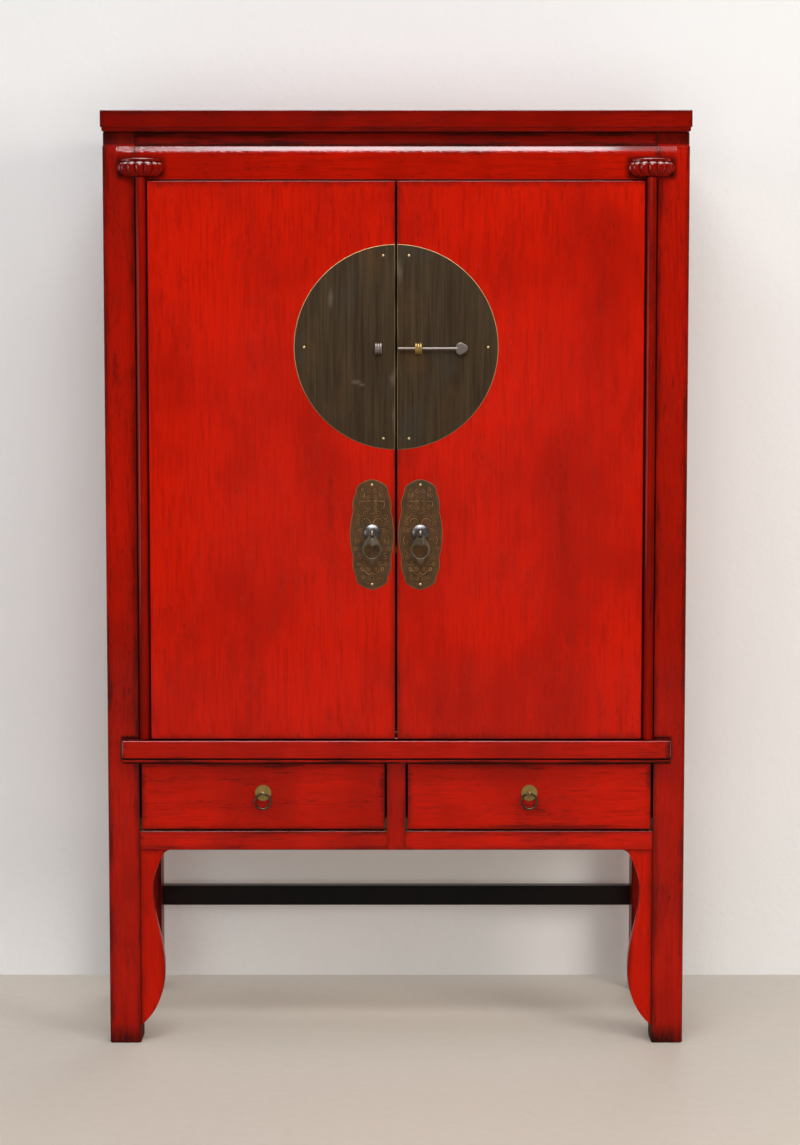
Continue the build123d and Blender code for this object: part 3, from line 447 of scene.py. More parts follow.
def bare_wood(name, grain, upright=None):
    """Planed softwood: rings are bands of a noise that is stretched along the grain. Each fades in and ends
    sharply. An upright, given as half its width and its two ends, stands between rails, with its own grain."""
    material, s, at = new_finish(name)
    along, fine = RINGS[grain], FLECKS[grain]
    if upright:
        half, foot, head = upright
        x, _, z = s.axes(at)
        within = s.times(s.math("GREATER_THAN", z, foot), s.math("LESS_THAN", z, head))
        stands = s.times(within, s.math("LESS_THAN", s.size(x), half))
        along, fine = s.mix(stands, along, RINGS["Z"]), s.mix(stands, fine, FLECKS["Z"])
    rings = s.math("FRACT", s.times(s.noise(at, along, 2), 9.0))
    rings = s.times(s.math("POWER", rings, 1.6), s.band(rings, 0.93, 1.0, 1.0, 0.0))
    pores, clouds = s.noise(at, fine, 3), s.noise(at, (5, 5, 5), 3)
    share = s.plus(s.times(rings, 0.5), s.times(pores, 0.45))
    share = s.plus(share, s.times(s.minus(clouds, 0.5), 0.5))
    s.finish(s.mix(s.band(share, 0.05, 0.9), linear(188, 149, 108), linear(148, 106, 68)), 0.62, share, 0.0003)
    return material


INSIDE = {"back_frame": "X", "back_panels": "Z", "compartment_floor": "X", "bottom_board": "X", "drawer_runners": "Y",
          "shelves": "X", "shelf_cleats": "Y", "door_battens": "X", "drawer_box": "Y", "drawer_bottom": "Y"}
woods = {grain: bare_wood(f"bare wood along {grain}", grain) for grain in "XYZ"}
for stem, grain in INSIDE.items():
    for name in both(stem):
        dress(name, woods[grain])
stile_half, stop_lap, panel_tongue = 30 * MM, 14 * MM, 8 * MM
middle_stile = (stile_half, sill_high.z + stop_lap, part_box("back_panels")[1].z - panel_tongue)
nodes["back_frame"].data.materials[0] = bare_wood("bare wood of the back", "X", middle_stile)

black, s, at = new_finish("black lacquer")
worn = s.noise(at, STROKES["X"], 4)
s.finish(s.mix(worn, (0.004, 0.004, 0.004), (0.012, 0.010, 0.009)), 0.35, worn, 0.0003)
dress("rear_stretcher", black)
print("bare wood on", len(INSIDE), "kinds of piece")

# %% [markdown]
# ## Closed skins
# Every carved or cast piece is a grid of points that a formula gives at once, as one array. A row of the grid
# is a closed loop. Loops that are joined one after the other make a skin, and the skin either closes on its
# first loop, like a tyre, or ends in a fan of triangles at the middle of each end loop, like a bead.

# %% From grids of points to meshes
def skin(loops, tyre=False):
    """Points and faces of one closed skin from loops, an array of (loops, points, 3) in metres."""
    loops = np.asarray(loops, float)
    rows, count = loops.shape[:2]
    index = np.arange(rows * count).reshape(rows, count)
    index = np.vstack([index, index[:1]]) if tyre else index
    low, high = index[:-1], index[1:]
    quads = np.stack([low, np.roll(low, -1, 1), np.roll(high, -1, 1), high], -1).reshape(-1, 4)
    points, faces = loops.reshape(-1, 3), quads.tolist()
    corners = points[quads]
    volume = np.sum(corners[:, 0] * np.cross(corners[:, 1] - corners[:, 3], corners[:, 2] - corners[:, 3]))
    middle = points.mean(0)
    volume -= np.sum(middle * np.cross(corners[:, 1] - corners[:, 3], corners[:, 2] - corners[:, 3]))
    if not tyre:
        points = np.vstack([points, loops[0].mean(0), loops[-1].mean(0)])
        start, end = index[0], index[-1]
        faces += np.stack([np.roll(start, -1), start, np.full(count, rows * count)], -1).tolist()
        faces += np.stack([end, np.roll(end, -1), np.full(count, rows * count + 1)], -1).tolist()
    return points, faces if volume > 0 else [face[::-1] for face in faces]


def make(name, body, replaced, skins, material, attributes=None, sharp=40):
    """One object from closed skins. It rides on a body in place of the CAD nodes that it replaces."""
    starts = np.cumsum([0] + [len(points) for points, _ in skins])
    faces = [[v + int(start) for v in face] for start, (_, made) in zip(starts, skins) for face in made]
    mesh = bpy.data.meshes.new(name)
    mesh.from_pydata(np.vstack([points for points, _ in skins]), [], faces)
    mesh.polygons.foreach_set("use_smooth", [True] * len(mesh.polygons))
    mesh.set_sharp_from_angle(angle=math.radians(sharp))
    for key, values in (attributes or {}).items():
        mesh.attributes.new(key, "FLOAT", "POINT").data.foreach_set("value", np.asarray(values, np.float32))
    mesh.materials.append(material)
    piece = bpy.data.objects.new(name, mesh)
    bpy.context.scene.collection.objects.link(piece)
    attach(piece, body)
    if replaced:
        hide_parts(*replaced)
    print(name, "has", len(mesh.polygons), "faces")


def turned(profile, place, count=48):
    """A piece turned on an axis that points to the front: the profile lists (radius, how far forward)."""
    turn = np.linspace(0, 2 * np.pi, count, endpoint=False)
    radius, forward = np.array(profile, float).T[:, :, None] * MM
    loops = np.stack([radius * np.cos(turn), -forward + 0 * turn, radius * np.sin(turn)], -1)
    return skin(loops + np.array(place))


def tyre(radius, wire, place, count=96, sides=20):
    """A ring of round wire: out = radius + wire cos v, with cos u and sin u round the ring."""
    u = np.linspace(0, 2 * np.pi, count, endpoint=False)
    v = np.linspace(0, 2 * np.pi, sides, endpoint=False)[:, None]
    out, side = (radius + wire * np.cos(v)) * MM, wire * np.sin(v) * MM + 0 * u
    loops = np.stack([out * np.cos(u), side, out * np.sin(u)], -1)
    return skin(loops + np.array(place), tyre=True)


def arc(start, middle, end, count=24):
    """Points of the circle through three points: from equal distances comes its centre."""
    a, b, c = (np.array(point, float) for point in (start, middle, end))
    centre = np.linalg.solve(2 * np.array([b - a, c - a]), [b @ b - a @ a, c @ c - a @ a])
    angles = np.unwrap([math.atan2(*(point - centre)[::-1]) for point in (a, b, c)])
    turn = np.linspace(angles[0], angles[2], count)
    return centre + np.linalg.norm(a - centre) * np.stack([np.cos(turn), np.sin(turn)], -1)


def bowed(start, end, bow, count=24):
    """The arc between two points that stands out from its chord by bow, to the left of the way to the end."""
    start, end = np.array(start, float), np.array(end, float)
    out = (end - start)[::-1] * (-1, 1) / np.linalg.norm(end - start)
    return arc(start, (start + end) / 2 + bow * out, end, count)


def dome(radius, rise, edge, steps=9):
    """The profile of a low dome on a short upright edge, as a quarter of an ellipse."""
    turn = np.linspace(0, 0.96 * np.pi / 2, steps)
    return [(radius, 0), (radius, edge)] + [(radius * math.cos(t), edge + rise * math.sin(t)) for t in turn[1:]]


print("a ring has", len(tyre(15, 2, (0, 0, 0))[1]), "faces")

# %% [markdown]
# ## Metal finishes
# The brass is old: a brown-green patina that handling wears off in patches, where paler, brighter metal shows
# through. On the rims of the flat plates the paleness is partly this wear and partly a painted highlight. Polished
# metal shows little colour of its own, so what it mirrors matters most, and a broad, blurred gloss keeps it from
# turning black where it faces the dim side of the room.

# %% Metals and their wear
def metal(name, patina, bright, rough=0.42, wear=0.5, brushed=(160, 160, 3), depth=0.00025, shine=0.9):
    """Patinated metal: wear is the share of the bright metal that shows through."""
    material, s, at = new_finish(name)
    brush = s.noise(at, brushed, 4, 0.65)
    stains = s.noise(at, (26, 26, 20), 5, 0.6)
    specks = s.noise(at, (600, 600, 600), 2)
    through = s.plus(s.times(stains, 0.6), s.times(brush, 0.4))
    share = s.band(through, 0.62 - 0.3 * wear, 0.95 - 0.3 * wear, 0.0, 0.85)
    color = s.mix(share, patina, bright)
    color = s.mix(s.band(specks, 0.62, 0.74, 0.0, 0.5), color, tuple(0.35 * v for v in patina))
    relief = s.plus(brush, s.times(stains, 0.5))
    s.finish(color, s.band(stains, 0.3, 0.7, rough - 0.06, rough + 0.1), relief, depth, Metallic=shine)
    return material


plate_grain = 0.0002


def plate_brass(name):
    """The dark brass of the flat plates, with vertical brush marks and stains, ready for its bright edges."""
    material, s, at = new_finish(name)
    brush = s.noise(at, (420, 420, 6), 5, 0.7)
    wide = s.noise(at, (150, 150, 5), 4, 0.6)
    stains = s.noise(at, (11, 11, 7), 5, 0.62)
    tone = s.plus(s.times(brush, 0.5), s.times(wide, 0.5))
    color = s.mix(s.band(tone, 0.34, 0.64), linear(52, 38, 22), linear(78, 60, 38))
    color = s.mix(s.band(stains, 0.52, 0.72, 0.0, 0.6), color, linear(92, 62, 30))
    color = s.mix(s.band(s.noise(at, (8, 8, 6), 4), 0.52, 0.7, 0.0, 0.6), color, linear(66, 64, 54))
    return material, s, at, color, brush


dark_brass = metal("dark brass", linear(92, 80, 64), linear(160, 144, 122), 0.34, 0.55, depth=0.0001, shine=0.45)
gold_brass = metal("rubbed brass", linear(160, 130, 70), linear(214, 188, 132), 0.32, 0.6, depth=0.0001, shine=0.45)
pale_brass = metal("pale brass", linear(168, 148, 112), linear(226, 210, 174), 0.3, 0.7, depth=0.0001, shine=0.45)
knob_metal = metal("knob metal", linear(104, 102, 100), linear(176, 172, 164), 0.3, 0.6, (90, 90, 90), 0.0003, 0.8)
ring_metal = metal("ring metal", linear(70, 64, 50), linear(168, 152, 120), 0.28, 0.6, depth=0.0001, shine=0.6)
pin_metal = metal("pin metal", linear(128, 116, 110), linear(196, 184, 172), 0.36, 0.5, (4, 200, 200), 0.00005, 0.5)
nail_metal = metal("nail brass", linear(200, 170, 110), linear(240, 214, 150), 0.3, 0.9, depth=0.0001, shine=0.6)
print("seven metals, from", dark_brass.name, "to", nail_metal.name)

# %% [markdown]
# ## The round plate
# Both halves keep their flat CAD shape. Their arris is painted as a ring of pale metal, found by the distance from
# the middle of the whole disc, and the same along the straight edges where the two halves meet. That pale arris is
# partly rubbed brass and partly a painted highlight, and the ring is painted brighter at the top of the disc than at
# its bottom.

# %% Finish the two halves of the disc
disc_low, disc_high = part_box("disc_half_right")
disc_radius = (disc_high.z - disc_low.z) / 2
disc_z = (disc_high.z + disc_low.z) / 2
disc_face = disc_low.y
arris_width = 1.3 * MM
disc_brass, s, at, color, brush = plate_brass("brass of the disc")
x, _, z = s.axes(at)
from_middle = s.vector("SUBTRACT", at, (0.0, disc_face, disc_z))
round_far = s.length(s.vector("MULTIPLY", from_middle, (1, 0, 1)))
height = s.math("DIVIDE", s.minus(z, disc_z), disc_radius)
# Painted highlight: the pale ring along the arris is partly rubbed brass and partly painted light, and is brighter at
# the top of the disc than at its bottom.
rim = s.band(round_far, disc_radius - arris_width, disc_radius - 0.5 * arris_width)
rim = s.times(rim, s.band(height, -0.9, 0.2, 0.3, 0.95))
# Painted highlight as well: the pale lines where the halves meet are partly rubbed brass, partly painted light.
meeting_wear_and_glint = s.band(s.size(x), disc_low.x, disc_low.x + 0.9 * arris_width, 0.8, 0.0)
meeting_wear_and_glint = s.times(meeting_wear_and_glint, s.band(s.noise(at, (5, 5, 14), 3), 0.35, 0.6, 0.1, 0.8))
# pale marks of handling: x and z from the middle, half width and half height, in millimetres
SMUDGES = [(-78, -68, 13, 5), (-68, -73, 8, 4), (-6, -62, 9, 17),
           (-4, -140, 5, 34), (5, 150, 9, 26), (-128, 95, 6, 22)]
smudges = 0.0
for smudge_x, smudge_z, wide, high in SMUDGES:
    from_smudge = s.vector("SUBTRACT", from_middle, (smudge_x * MM, 0, smudge_z * MM))
    far = s.length(s.vector("MULTIPLY", from_smudge, (1 / (wide * MM), 0, 1 / (high * MM))))
    smudges = s.larger(smudges, s.band(s.plus(far, s.noise(at, (60, 60, 60), 3)), 0.6, 1.7, 0.6, 0.0))
color = s.mix(smudges, color, linear(112, 98, 84))
color = s.mix(s.larger(rim, meeting_wear_and_glint), color, linear(226, 188, 132))
s.finish(color, s.band(brush, 0.3, 0.7, 0.42, 0.55), brush, plate_grain, Metallic=0.5)
for side in SIDES:
    dress(f"disc_half_{side}", disc_brass, 0.0005)
print("disc radius", round(disc_radius, 3), "at height", round(disc_z, 3))

# %% [markdown]
# ## Handle plates
# The outline is four arcs in each quarter. Its half width is read off at every level, which turns the plate
# into a grid of levels and shares of the width. Scrolls are cut into the face: a scroll is a spiral, and the
# depth at a point falls off with its distance to the nearest scroll. The pattern is the same on both halves
# of a plate, so only the right half of it is drawn.

# %% The handle plate's outline and engraving, in millimetres
tip, corner, shoulder, cusp, widest = (0.0, 109.0), (21.0, 101.2), (31.5, 82.5), (37.0, 46.0), (43.5, 0.0)
bows = [(tip, corner, 1.1), (corner, shoulder, 3.6), (shoulder, cusp, 3.4), (cusp, widest, 1.6)]
upper_edge = np.vstack([bowed(*bow)[: None if bow[1] is widest else -1] for bow in bows])
scroll_depth, border_inset = 0.42, 4.2


def half_width(z):
    """Half of the plate's width at a level: the lower half mirrors the upper."""
    return np.interp(-np.abs(z), -upper_edge[:, 1], upper_edge[:, 0])


def scroll(x, z, size, start, turns, tail=0.0, way=1):
    """A spiral r = size (1 - t)^0.8 with a straight tail that leaves its outer end."""
    t = np.linspace(0, 0.96, int(30 * turns * max(size, 3) / 3))
    angle = math.radians(start) + way * 2 * math.pi * turns * t
    spiral = np.stack([x + size * (1 - t) ** 0.8 * np.cos(angle), z + size * (1 - t) ** 0.8 * np.sin(angle)], -1)
    away = np.array([math.sin(math.radians(start)), -math.cos(math.radians(start))]) * way
    line = spiral[0] + away * np.linspace(tail, 0, int(2 * tail) + 1)[:, None]
    return np.vstack([line, spiral])


def line(*points):
    """A straight cut through the points."""
    ends = np.array(points, float)
    return np.vstack([a + np.linspace(0, 1, 24)[:, None] * (b - a) for a, b in zip(ends, ends[1:])])


BOLD = [
    arc((2.2, 19.5), (4.2, 27.5), (9.0, 31.5)), arc((9.0, 31.5), (16.0, 31.0), (20.0, 24.5)),  # over the knob
    arc((30.5, -3.0), (33.5, -11.0), (30.5, -19.0)),
    arc((0.0, -73.0), (4.5, -78.0), (10.0, -75.5)), arc((10.0, -75.5), (14.0, -71.0), (20.0, -71.5)),  # the cloud
    scroll(19.5, -67.4, 4.0, 270, 1.2),
    line((4.0, 66.5), (24.0, 66.0), (24.5, 56.0)), line((14.5, 73.0), (14.5, 83.0)),
]
FINE = [
    scroll(27.0, 37.0, 5.5, 200, 1.4, 5),
    scroll(27.0, 24.0, 5.0, 60, 1.5, 6, -1),
    scroll(12.0, 42.0, 5.5, 270, 1.5, 6),  # the fret under the crown
    scroll(6.0, 51.0, 4.0, 90, 1.4, 4, -1),
    scroll(17.0, 54.0, 5.0, 20, 1.5, 6),
    scroll(8.0, 61.0, 3.6, 90, 1.3, 4, -1),
    scroll(7.0, 74.0, 4.5, 300, 1.6, 5),
    scroll(20.5, 77.0, 4.5, 200, 1.5, 6, -1),
    scroll(7.0, 86.0, 4.6, 120, 1.4, 4),
    scroll(19.0, 89.0, 4.0, 120, 1.3, 3),
    scroll(33.0, 12.0, 5.0, 250, 1.4, 8),  # beside the pull
    scroll(22.5, 8.0, 4.5, 100, 1.4, 5, -1),
    scroll(26.0, -12.0, 4.5, 100, 1.4, 8, -1),
    scroll(31.0, -28.0, 5.0, 30, 1.6, 5, -1),
    scroll(26.0, -43.0, 5.5, 120, 1.4, 6),
    scroll(17.0, -56.0, 5.0, 300, 1.6, 5, -1),
    scroll(28.0, -58.0, 4.0, 120, 1.4, 4),
    scroll(7.0, -68.0, 4.5, 60, 1.5, 6),  # the cloud in the foot
    scroll(6.0, -86.0, 4.6, 90, 1.4, 5, -1),
    scroll(17.0, -85.0, 4.6, 180, 1.5, 4, -1),
    arc((0.0, 42.0), (6.0, 44.0), (9.0, 49.0)),
    arc((0.0, -99.0), (8.0, -96.0), (15.0, -92.0)),
]


def plate_relief(x, z):
    """How deep the face is cut at a point, between 0 and 1: exp(-(distance / width)^2)."""
    at = np.stack([np.abs(x), z], -1).reshape(-1, 1, 2)
    cut = 0.0
    for cuts, width, share in ((BOLD, 1.1, 1.0), (FINE, 0.95, 0.85)):
        drawn = np.vstack(cuts)
        near = np.concatenate([np.min(np.sum((part - drawn) ** 2, -1), 1) for part in np.array_split(at, 40)])
        cut = np.maximum(cut, share * np.exp(-near / width**2))
    inset = (half_width(z) - np.abs(x)).ravel()
    border = 0.75 * np.exp(-(((inset - border_inset) / 0.8) ** 2))
    return np.maximum(cut, border).reshape(x.shape)


print("scroll work:", len(BOLD) + len(FINE), "cuts,", sum(len(part) for part in BOLD + FINE), "points")

# %% [markdown]
# The grid is close where the plate's edge turns: its levels crowd at both tips, and the shares of its width follow
# a sine, which crowds them at the sides. The depth of the cuts and the nearness of the edge stay on the mesh as
# attributes, and the brass reads them: painted shade on the walls of the cuts, and a painted highlight at their
# bottom and on the rim, where the pale rim is partly rubbed brass as well.

# %% The plates themselves
end_level, tip_rise, across, crowding = 108.8, 1.2, 141, np.pi / 2 * 0.92


def plate_skin(middle_x, middle_z, face_y, thickness):
    """Loops at each level: across the cut face to the right, and back over the plain rear."""
    level = np.concatenate([-end_level + tip_rise * np.linspace(0, 1, 6) ** 2, np.linspace(-107, 107, 356)])
    level = np.append(level, end_level - tip_rise * np.linspace(1, 0, 6) ** 2)[:, None]
    share = np.sin(np.linspace(-1, 1, across) * crowding) / math.sin(crowding)
    x, z = half_width(level) * share, level + 0 * share
    inset = np.minimum(half_width(level) * (1 - np.abs(share)), tip[1] - np.abs(z) + 2)
    worn = 0.45 * (1 - np.clip(inset / 0.7, 0, 1)) ** 2
    cut = plate_relief(x, z)
    front = np.stack([middle_x + x * MM, face_y + (scroll_depth * cut + worn) * MM, middle_z + z * MM], -1)
    rear = front[:, ::-10].copy()
    rear[:, :, 1] = face_y + thickness
    edge = np.exp(-((inset / 0.9) ** 2))
    values = {"cut": np.hstack([cut, cut[:, ::-10] * 0]), "rim": np.hstack([edge, edge[:, ::-10]])}
    return skin(np.hstack([front, rear])), {key: np.append(v.ravel(), [0, 0]) for key, v in values.items()}


plate_metal, s, at, color, brush = plate_brass("brass of the handle plates")
cut_share = s.node("Attribute", attribute_name="cut").outputs["Fac"]
rim_share = s.node("Attribute", attribute_name="rim").outputs["Fac"]
color = s.mix(s.band(s.noise(at, (70, 70, 50), 4), 0.35, 0.65, 0.35, 0.85), color, linear(100, 70, 42))
# Painted shade: the walls of each cut are darkened.
shade = s.times(s.minus(s.band(cut_share, 0.02, 0.2), s.band(cut_share, 0.3, 0.6)), 0.8)
color = s.mix(shade, color, linear(46, 30, 16))
# Painted highlight: the bottoms of the cuts are painted paler in patches, and the rim too, which is partly rubbed
# brass as well.
rubbed = s.band(s.noise(at, (80, 80, 80), 3), 0.35, 0.62, 0.25, 0.85)
lit = s.times(s.band(cut_share, 0.35, 0.95), rubbed)
color = s.mix(s.larger(lit, s.times(rim_share, 0.75), clamp=True), color, linear(172, 124, 78))
s.finish(color, 0.42, brush, plate_grain, Metallic=0.4)
for side in SIDES:
    low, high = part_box(f"handle_plate_{side}")
    made, values = plate_skin((low.x + high.x) / 2, (low.z + high.z) / 2, low.y, high.y - low.y)
    make(f"engraved_plate_{side}", f"door_{side}", [f"handle_plate_{side}"], [made], plate_metal, values)

# %% [markdown]
# ## Knobs, rosettes and nails
# All of these are turned round an axis that points to the front, so a short profile gives each one.

# %% Turned pieces
def middle_of(name):
    """The middle of a CAD node's box, and the box's two corners."""
    low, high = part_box(name)
    return (low + high) / 2, low, high


flats_gap = 0.15  # the CAD's round pieces have flats, and a true round reaches this much further
for side in SIDES:
    middle, low, high = middle_of(f"pull_boss_{side}")
    radius, thick = (high.x - low.x) / 2 / MM + flats_gap, (high.y - low.y) / MM
    knob = turned(dome(radius, thick - 0.6, 0.6, 14), (middle.x, high.y, middle.z))
    make(f"knob_{side}", f"door_{side}", [f"pull_boss_{side}"], [knob], knob_metal)
    middle, low, high = middle_of(f"drawer_rosette_{side}")
    radius, thick = (high.x - low.x) / 2 / MM + flats_gap, (high.y - low.y) / MM
    profile = [(radius, 0), (radius, 0.55 * thick), (radius - 0.15, 0.8 * thick), (radius - 0.6, thick)]
    profile += [(radius - 2.0, 0.93 * thick), (0.5 * radius, 0.9 * thick), (0.2 * radius, 0.9 * thick)]
    rosette = turned(profile, (middle.x, high.y, middle.z))
    make(f"rosette_{side}", f"drawer_{side}", [f"drawer_rosette_{side}"], [rosette], gold_brass)

nail_radius, nail_rise, shank_radius, plate_nail = 2.4, 1.2, 0.9, 98 * MM
nail_ring, spread = disc_radius - 20 * MM, math.radians(82)
shank = [(shank_radius, -13), (shank_radius, -0.2), (nail_radius, -0.2)]
for side, sign in SIDES.items():
    turns = (-spread, 0.0, spread)
    spots = [(sign * nail_ring * math.cos(a), disc_face, disc_z + nail_ring * math.sin(a)) for a in turns]
    middle, low, _ = middle_of(f"handle_plate_{side}")
    spots += [(middle.x, low.y, middle.z + way * plate_nail) for way in (-1, 1)]
    heads = [turned(shank + dome(nail_radius, nail_rise, 0.0)[1:], spot, 20) for spot in spots]
    make(f"nail_heads_{side}", f"door_{side}", [f"door_nails_{side}"], heads, nail_metal)

# %% [markdown]
# ## Pulls
# A drop pull has two openings. It is drawn as two bands that run into each other: a broad one round the heart
# and a narrow one round the hanging hole. Each band lies between an inner and an outer outline. Both outlines
# are read off at the same angles from a middle, and the section between them is a soft oval.

# %% The heart-shaped drops and the drawer rings
def outline_radius(outline, middle, turn):
    """The outline's distance from the middle at each angle."""
    away = np.asarray(outline, float) - middle
    angle = np.mod(np.arctan2(away[:, 1], away[:, 0]), 2 * np.pi)
    order = np.argsort(angle)
    return np.interp(turn, angle[order], np.hypot(*away.T)[order], period=2 * np.pi)


def band(inner, outer, middle, place, half, sides=20, count=180):
    """A band between two outlines: share = (1 - cos v) / 2 across, half sin v through."""
    turn = np.linspace(0, 2 * np.pi, count, endpoint=False)
    v = np.linspace(0, 2 * np.pi, sides, endpoint=False)[:, None]
    near, far = (outline_radius(line, middle, turn) for line in (inner, outer))
    share = 0.5 - 0.5 * np.sign(np.cos(v)) * np.abs(np.cos(v)) ** 0.7
    out = near + (far - near) * share
    through = half * np.sign(np.sin(v)) * np.abs(np.sin(v)) ** 0.6 + 0 * turn
    loops = np.stack([middle[0] + out * np.cos(turn), -through, middle[1] + out * np.sin(turn)], -1)
    return skin(loops * MM + np.array(place), tyre=True)


drop_rim, hole_radius, drop_radius, drop_centre, drop_tip = 2.0, 4.0, 19.0, -31.5, -62.0
hole_z = -drop_rim / 2 - hole_radius
circle = np.linspace(0, 2 * np.pi, 73)[:-1]
ears = (14.6, drop_centre + 12.2)
round_turn = np.radians(np.linspace(28, -58, 30))
round_side = [(drop_radius * math.cos(a), drop_centre + drop_radius * math.sin(a)) for a in round_turn]
right_edge = [
    (1.0, hole_z - 5.0), (4.2, hole_z - 3.0), (6.0, hole_z),  # beside the hanging hole
    (ears[0] - 1.0, ears[1] + 4.0), (ears[0] + 0.9, ears[1] + 1.2), (ears[0] + 0.8, ears[1] - 1.5), *round_side,
    (5.0, drop_centre - 22.5), (2.6, drop_centre - 27.0), (0.0, drop_tip),
]
steps = np.linspace(0, 1, 12)[:, None]
fine_edge = np.vstack([np.array(a) + steps * (np.array(b) - a) for a, b in zip(right_edge, right_edge[1:])])
heart_side = np.vstack([arc((0, -27.0), (8.4, -22.5), (15.5, -32.0)), arc((15.5, -32.0), (11.2, -43.3), (0, -49.0))])
mirrored_x = np.array([-1, 1])
drop_edge, heart = (np.vstack([line, (line * mirrored_x)[::-1]]) for line in (fine_edge, heart_side))
round_hole = np.stack([np.cos(circle), np.sin(circle)], -1)

for side in SIDES:
    middle, low, high = middle_of(f"pull_drop_{side}")
    place = (middle.x, middle.y, high.z - 1.0 * MM)
    half = (high.y - low.y) / 2 / MM
    hang = np.array([0.0, hole_z])
    inner, outer = (hang + radius * round_hole for radius in (hole_radius, hole_radius + drop_rim))
    top_band = band(inner, outer, hang, place, half, 16, 72)
    heart_band = band(heart, drop_edge, np.array([0.0, drop_centre]), place, half)
    make(f"heart_drop_{side}", f"drop_{side}", [f"pull_drop_{side}"], [heart_band, top_band], dark_brass)
    middle, low, high = middle_of(f"drawer_ring_{side}")
    wire = (high.y - low.y) / 2 / MM
    outside = (high.x - low.x) / 2 / MM
    ring = tyre(outside - wire, wire, middle)
    make(f"ring_pull_{side}", f"ring_{side}", [f"drawer_ring_{side}"], [ring], ring_metal)
    dress(f"pull_cotter_{side}", pale_brass, 0.0003)
    dress(f"drawer_cotter_{side}", gold_brass, 0.0003)

# %% [markdown]
# ## Staples and the lock pin
# A staple is an arch with a bore along it. Its outer loop follows half an oval whose size swells and sinks
# along the bore, which makes the ridges, and its inner loop is the bore's circle. The pin is a round rod let
# into a small leaf that gives the fingers a hold.

# %% Ribbed staples, rod and leaf
ridges, ridge_depth, front_depth, bore = 3, 0.3, 0.1, 2.55
pin_middle, pin_low, pin_high = middle_of("lock_pin")


def staple_skin(low, high):
    """A ribbed arch: share = 1 - depth (1 - |cos|^0.5), with one swelling of the cosine for each ridge."""
    t = np.linspace(0, np.pi, 41)
    middle_z, half, reach = (low.z + high.z) / 2, (high.z - low.z) / 2, high.y - low.y
    forward = np.append(np.sin(t) ** 0.9, np.zeros(9))
    upward = np.append(np.cos(t), np.linspace(-0.9, 0.9, 9))
    x = np.linspace(low.x, high.x, 61)[:, None]
    wave = np.abs(np.cos(np.pi * (ridges * (x - low.x) / (high.x - low.x) - 0.5)))
    share = 1 - ridge_depth * (1 - wave**0.5)
    front_share = 1 - front_depth * (1 - wave**0.5)  # shallower, because the bore passes close behind the front
    outer = np.stack([x + 0 * forward, high.y - reach * front_share * forward, middle_z + half * share * upward], -1)
    angle = np.arctan2(outer[0, :, 2] - pin_middle.z, outer[0, :, 1] - pin_middle.y)
    hole_y, hole_z = pin_middle.y + bore * MM * np.cos(angle), pin_middle.z + bore * MM * np.sin(angle)
    hole = np.stack([0 * angle, hole_y, hole_z], -1)
    inner = hole + np.linspace(high.x, low.x, 5)[:, None, None] * np.array([1, 0, 0])
    return skin(np.vstack([outer, inner]), tyre=True)


for side in SIDES:
    slot_metal = gold_brass if side == "right" else pin_metal
    arch = staple_skin(*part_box(f"staple_{side}"))
    make(f"ribbed_staple_{side}", f"door_{side}", [f"staple_{side}"], [arch], slot_metal)

pin_radius, leaf_length, leaf_half, leaf_thick = 2.25, 24.0, 11.5, 3.0
leaf_x = pin_high.x - leaf_length * MM
ends = np.linspace(0, np.pi / 2, 7)
shaft = np.linspace(pin_low.x + 2 * MM, leaf_x + 3 * MM, 9)
rod_x = np.concatenate([pin_low.x + 1.5 * MM * (1 - np.cos(ends)), shaft])
rod_radius = np.concatenate([pin_radius * np.sin(ends + 0.05), np.full(9, pin_radius)]).clip(0.2, pin_radius)
turn = np.linspace(0, 2 * np.pi, 32, endpoint=False)
around_rod = rod_radius[:, None] * MM
rod = np.stack([rod_x[:, None] + 0 * turn, around_rod * np.cos(turn), around_rod * np.sin(turn)], -1)
rod = skin(rod + np.array([0, pin_middle.y, pin_middle.z]))
root, crest, point, foot = (0.0, pin_radius), (16.3, 8.6), (leaf_length, 1.5), (14.9, -9.2)
leaf_line = np.vstack([
    arc(root, (7.2, leaf_half), crest), arc(crest, (21.6, 5.8), point)[1:],
    arc(point, (21.1, -4.6), foot)[1:], arc(foot, (6.2, -leaf_half), (0.0, -pin_radius))[1:],
])
leaf_middle = np.array([11.5, 0.0])
layers = [(0.3, 1.1), (0.7, 1.05), (0.9, 0.9), (0.98, 0.6), (1.0, 0.2), (1.0, -0.5), (0.9, -1.0), (0.3, -1.0)]
share, out = np.array(layers).T[:, :, None]
flat = leaf_middle + (leaf_line - leaf_middle) * share[:, :, None]
leaf = np.stack([flat[:, :, 0], -out * leaf_thick / 2 + 0 * flat[:, :, 0], flat[:, :, 1]], -1) * MM
leaf = skin(leaf + np.array([leaf_x, pin_middle.y, pin_middle.z]))
make("lock_pin_and_leaf", "lock_pin", ["lock_pin"], [rod, leaf], pin_metal)

# %% [markdown]
# ## Carved sockets
# Each door turns in a carved socket: a bowl of rounded lobes under a flat lip, bored from below for the
# pivot. The plan is half an oval, out = share (1 - notch (1 - |sin(7 turn)|^0.6)). From the foot to the lip
# the share swells and sinks again, and the notches are deepest at the fullest part.

# %% The two sockets
lobes, lobe_points, notch, pivot_bore = 7, 26, 0.17, 7.08
bowl_share, lip_share, foot_share, fullest = 0.8, 0.86, 0.66, 0.6
lip = [(0.8, 0.80), (0.8, 0.83), (lip_share - 0.01, 0.84), (lip_share, 0.86), (lip_share, 0.97)]
lip += [(lip_share - 0.02, 1.0), (0.4, 1.0)]


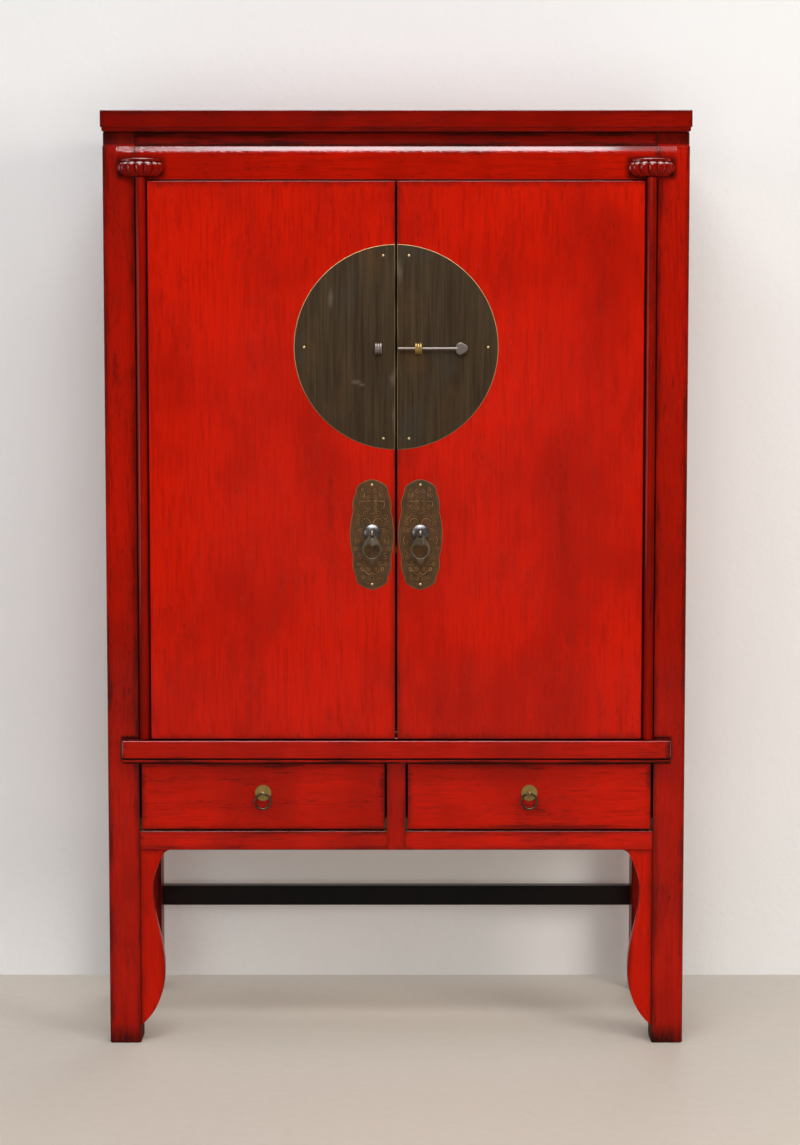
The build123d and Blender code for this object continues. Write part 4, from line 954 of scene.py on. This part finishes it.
def socket_skin(low, high):
    """Loops from the top of the bore down to its mouth, out to the foot, up the bowl, and over the lip."""
    middle_x, height, reach, half = (low.x + high.x) / 2, high.z - low.z, front_y - low.y, (high.x - low.x) / 2
    turn = np.linspace(0, np.pi, lobes * lobe_points + 1)
    back = np.linspace(-1, 1, 40)[1:-1]
    lobe = np.abs(np.sin(lobes * turn)) ** 0.6

    def loop(share, level, depth):
        out = share * (1 - depth * (1 - lobe))
        x = np.append(half * out * np.cos(turn), half * share * back * 0.98)
        y = np.append(-reach * out * np.sin(turn), 0 * back)
        return np.stack([middle_x + x, front_y + y, low.z + height * level + 0 * x], -1)

    rise = np.linspace(0, 1, 34)
    swell = foot_share + (1 - foot_share) * np.sin(np.pi / 2 * np.minimum(rise, fullest) / fullest) ** 0.8
    shrink = 0.82 + 0.18 * np.sqrt(np.clip(1 - ((rise - fullest) / 0.42) ** 2, 0, 1))
    belly = np.where(rise < fullest, swell, shrink)
    depth = notch * (0.35 + 0.65 * np.sin(np.pi * np.clip(rise, 0, 0.85) / 1.1))
    rows = [loop(a, bowl_share * b, c) for a, b, c in zip(belly, rise, depth)]
    rows += [loop(share, level, 0.0) for share, level in lip]
    pivot_y = middle_of("door_pivot_stile_right")[1].y + 10 * MM
    hub = np.array([middle_x, pivot_y])
    away = rows[0][:, :2] - hub
    around = away / np.linalg.norm(away, axis=1)[:, None] * pivot_bore * MM
    bore_levels = ((0.4, high.z - 3 * MM), (1.0, high.z - 3 * MM), (1.0, low.z))
    deep = [np.column_stack([hub + around * a, np.full(len(away), b)]) for a, b in bore_levels]
    return skin(np.array([*deep, *rows]))


for side in SIDES:
    socket_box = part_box(f"pivot_socket_{side}")
    looks = {"tone": 0.42, "rub": 0.6, "worn": 0.8, "gloss": 0.16, "stained": 0.6}
    finish = lacquer(f"red lacquer, carved {side}", *socket_box, "X", **looks)
    carved = socket_skin(*socket_box)
    make(f"carved_socket_{side}", "cabinet", [f"pivot_socket_{side}"], [carved], finish, sharp=60)

# %% [markdown]
# ## Coves under the bottom rail
# Where a leg's bracket meets the rail, a small hollow runs out along the rail. It is a strip between a curve
# and a straight line inside the bracket, and it lies a hair behind the bracket's face.

# %% Two coves
cove_front, cove_back, cove_root = 0.4 * MM, 21 * MM, 20.0
rail_end, bend, bracket_end = (69.0, 0.0), (43.0, -16.0), (24.6, -70.0)
along_rail, down_bracket = arc(rail_end, (51.8, -3.5), bend, 16), arc(bend, (33.5, -37.0), bracket_end, 16)
hollow = np.vstack([along_rail, down_bracket[1:]])
root = np.stack([0 * hollow[:, 0] + cove_root, hollow[:, 1]], -1)
rail_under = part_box("bottom_rail_front")[0].z
bracket_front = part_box("leg_bracket_right")[0].y


def cove_edge(edge, y, sign):
    """One long edge of a cove: how far in from the post, at this depth behind the bracket's face."""
    x, z = post_in - edge[:, 0] * MM, rail_under + edge[:, 1] * MM
    return np.column_stack([sign * x, bracket_front + y + 0 * x, z])


for side, sign in SIDES.items():
    edges = [(hollow, cove_front), (hollow, cove_back), (root, cove_back), (root, cove_front)]
    corners = [cove_edge(*edge, sign) for edge in edges]
    finish = nodes[f"leg_bracket_{side}"].data.materials[0]
    make(f"cove_{side}", "cabinet", [], [skin(np.stack(corners, 1))], finish)
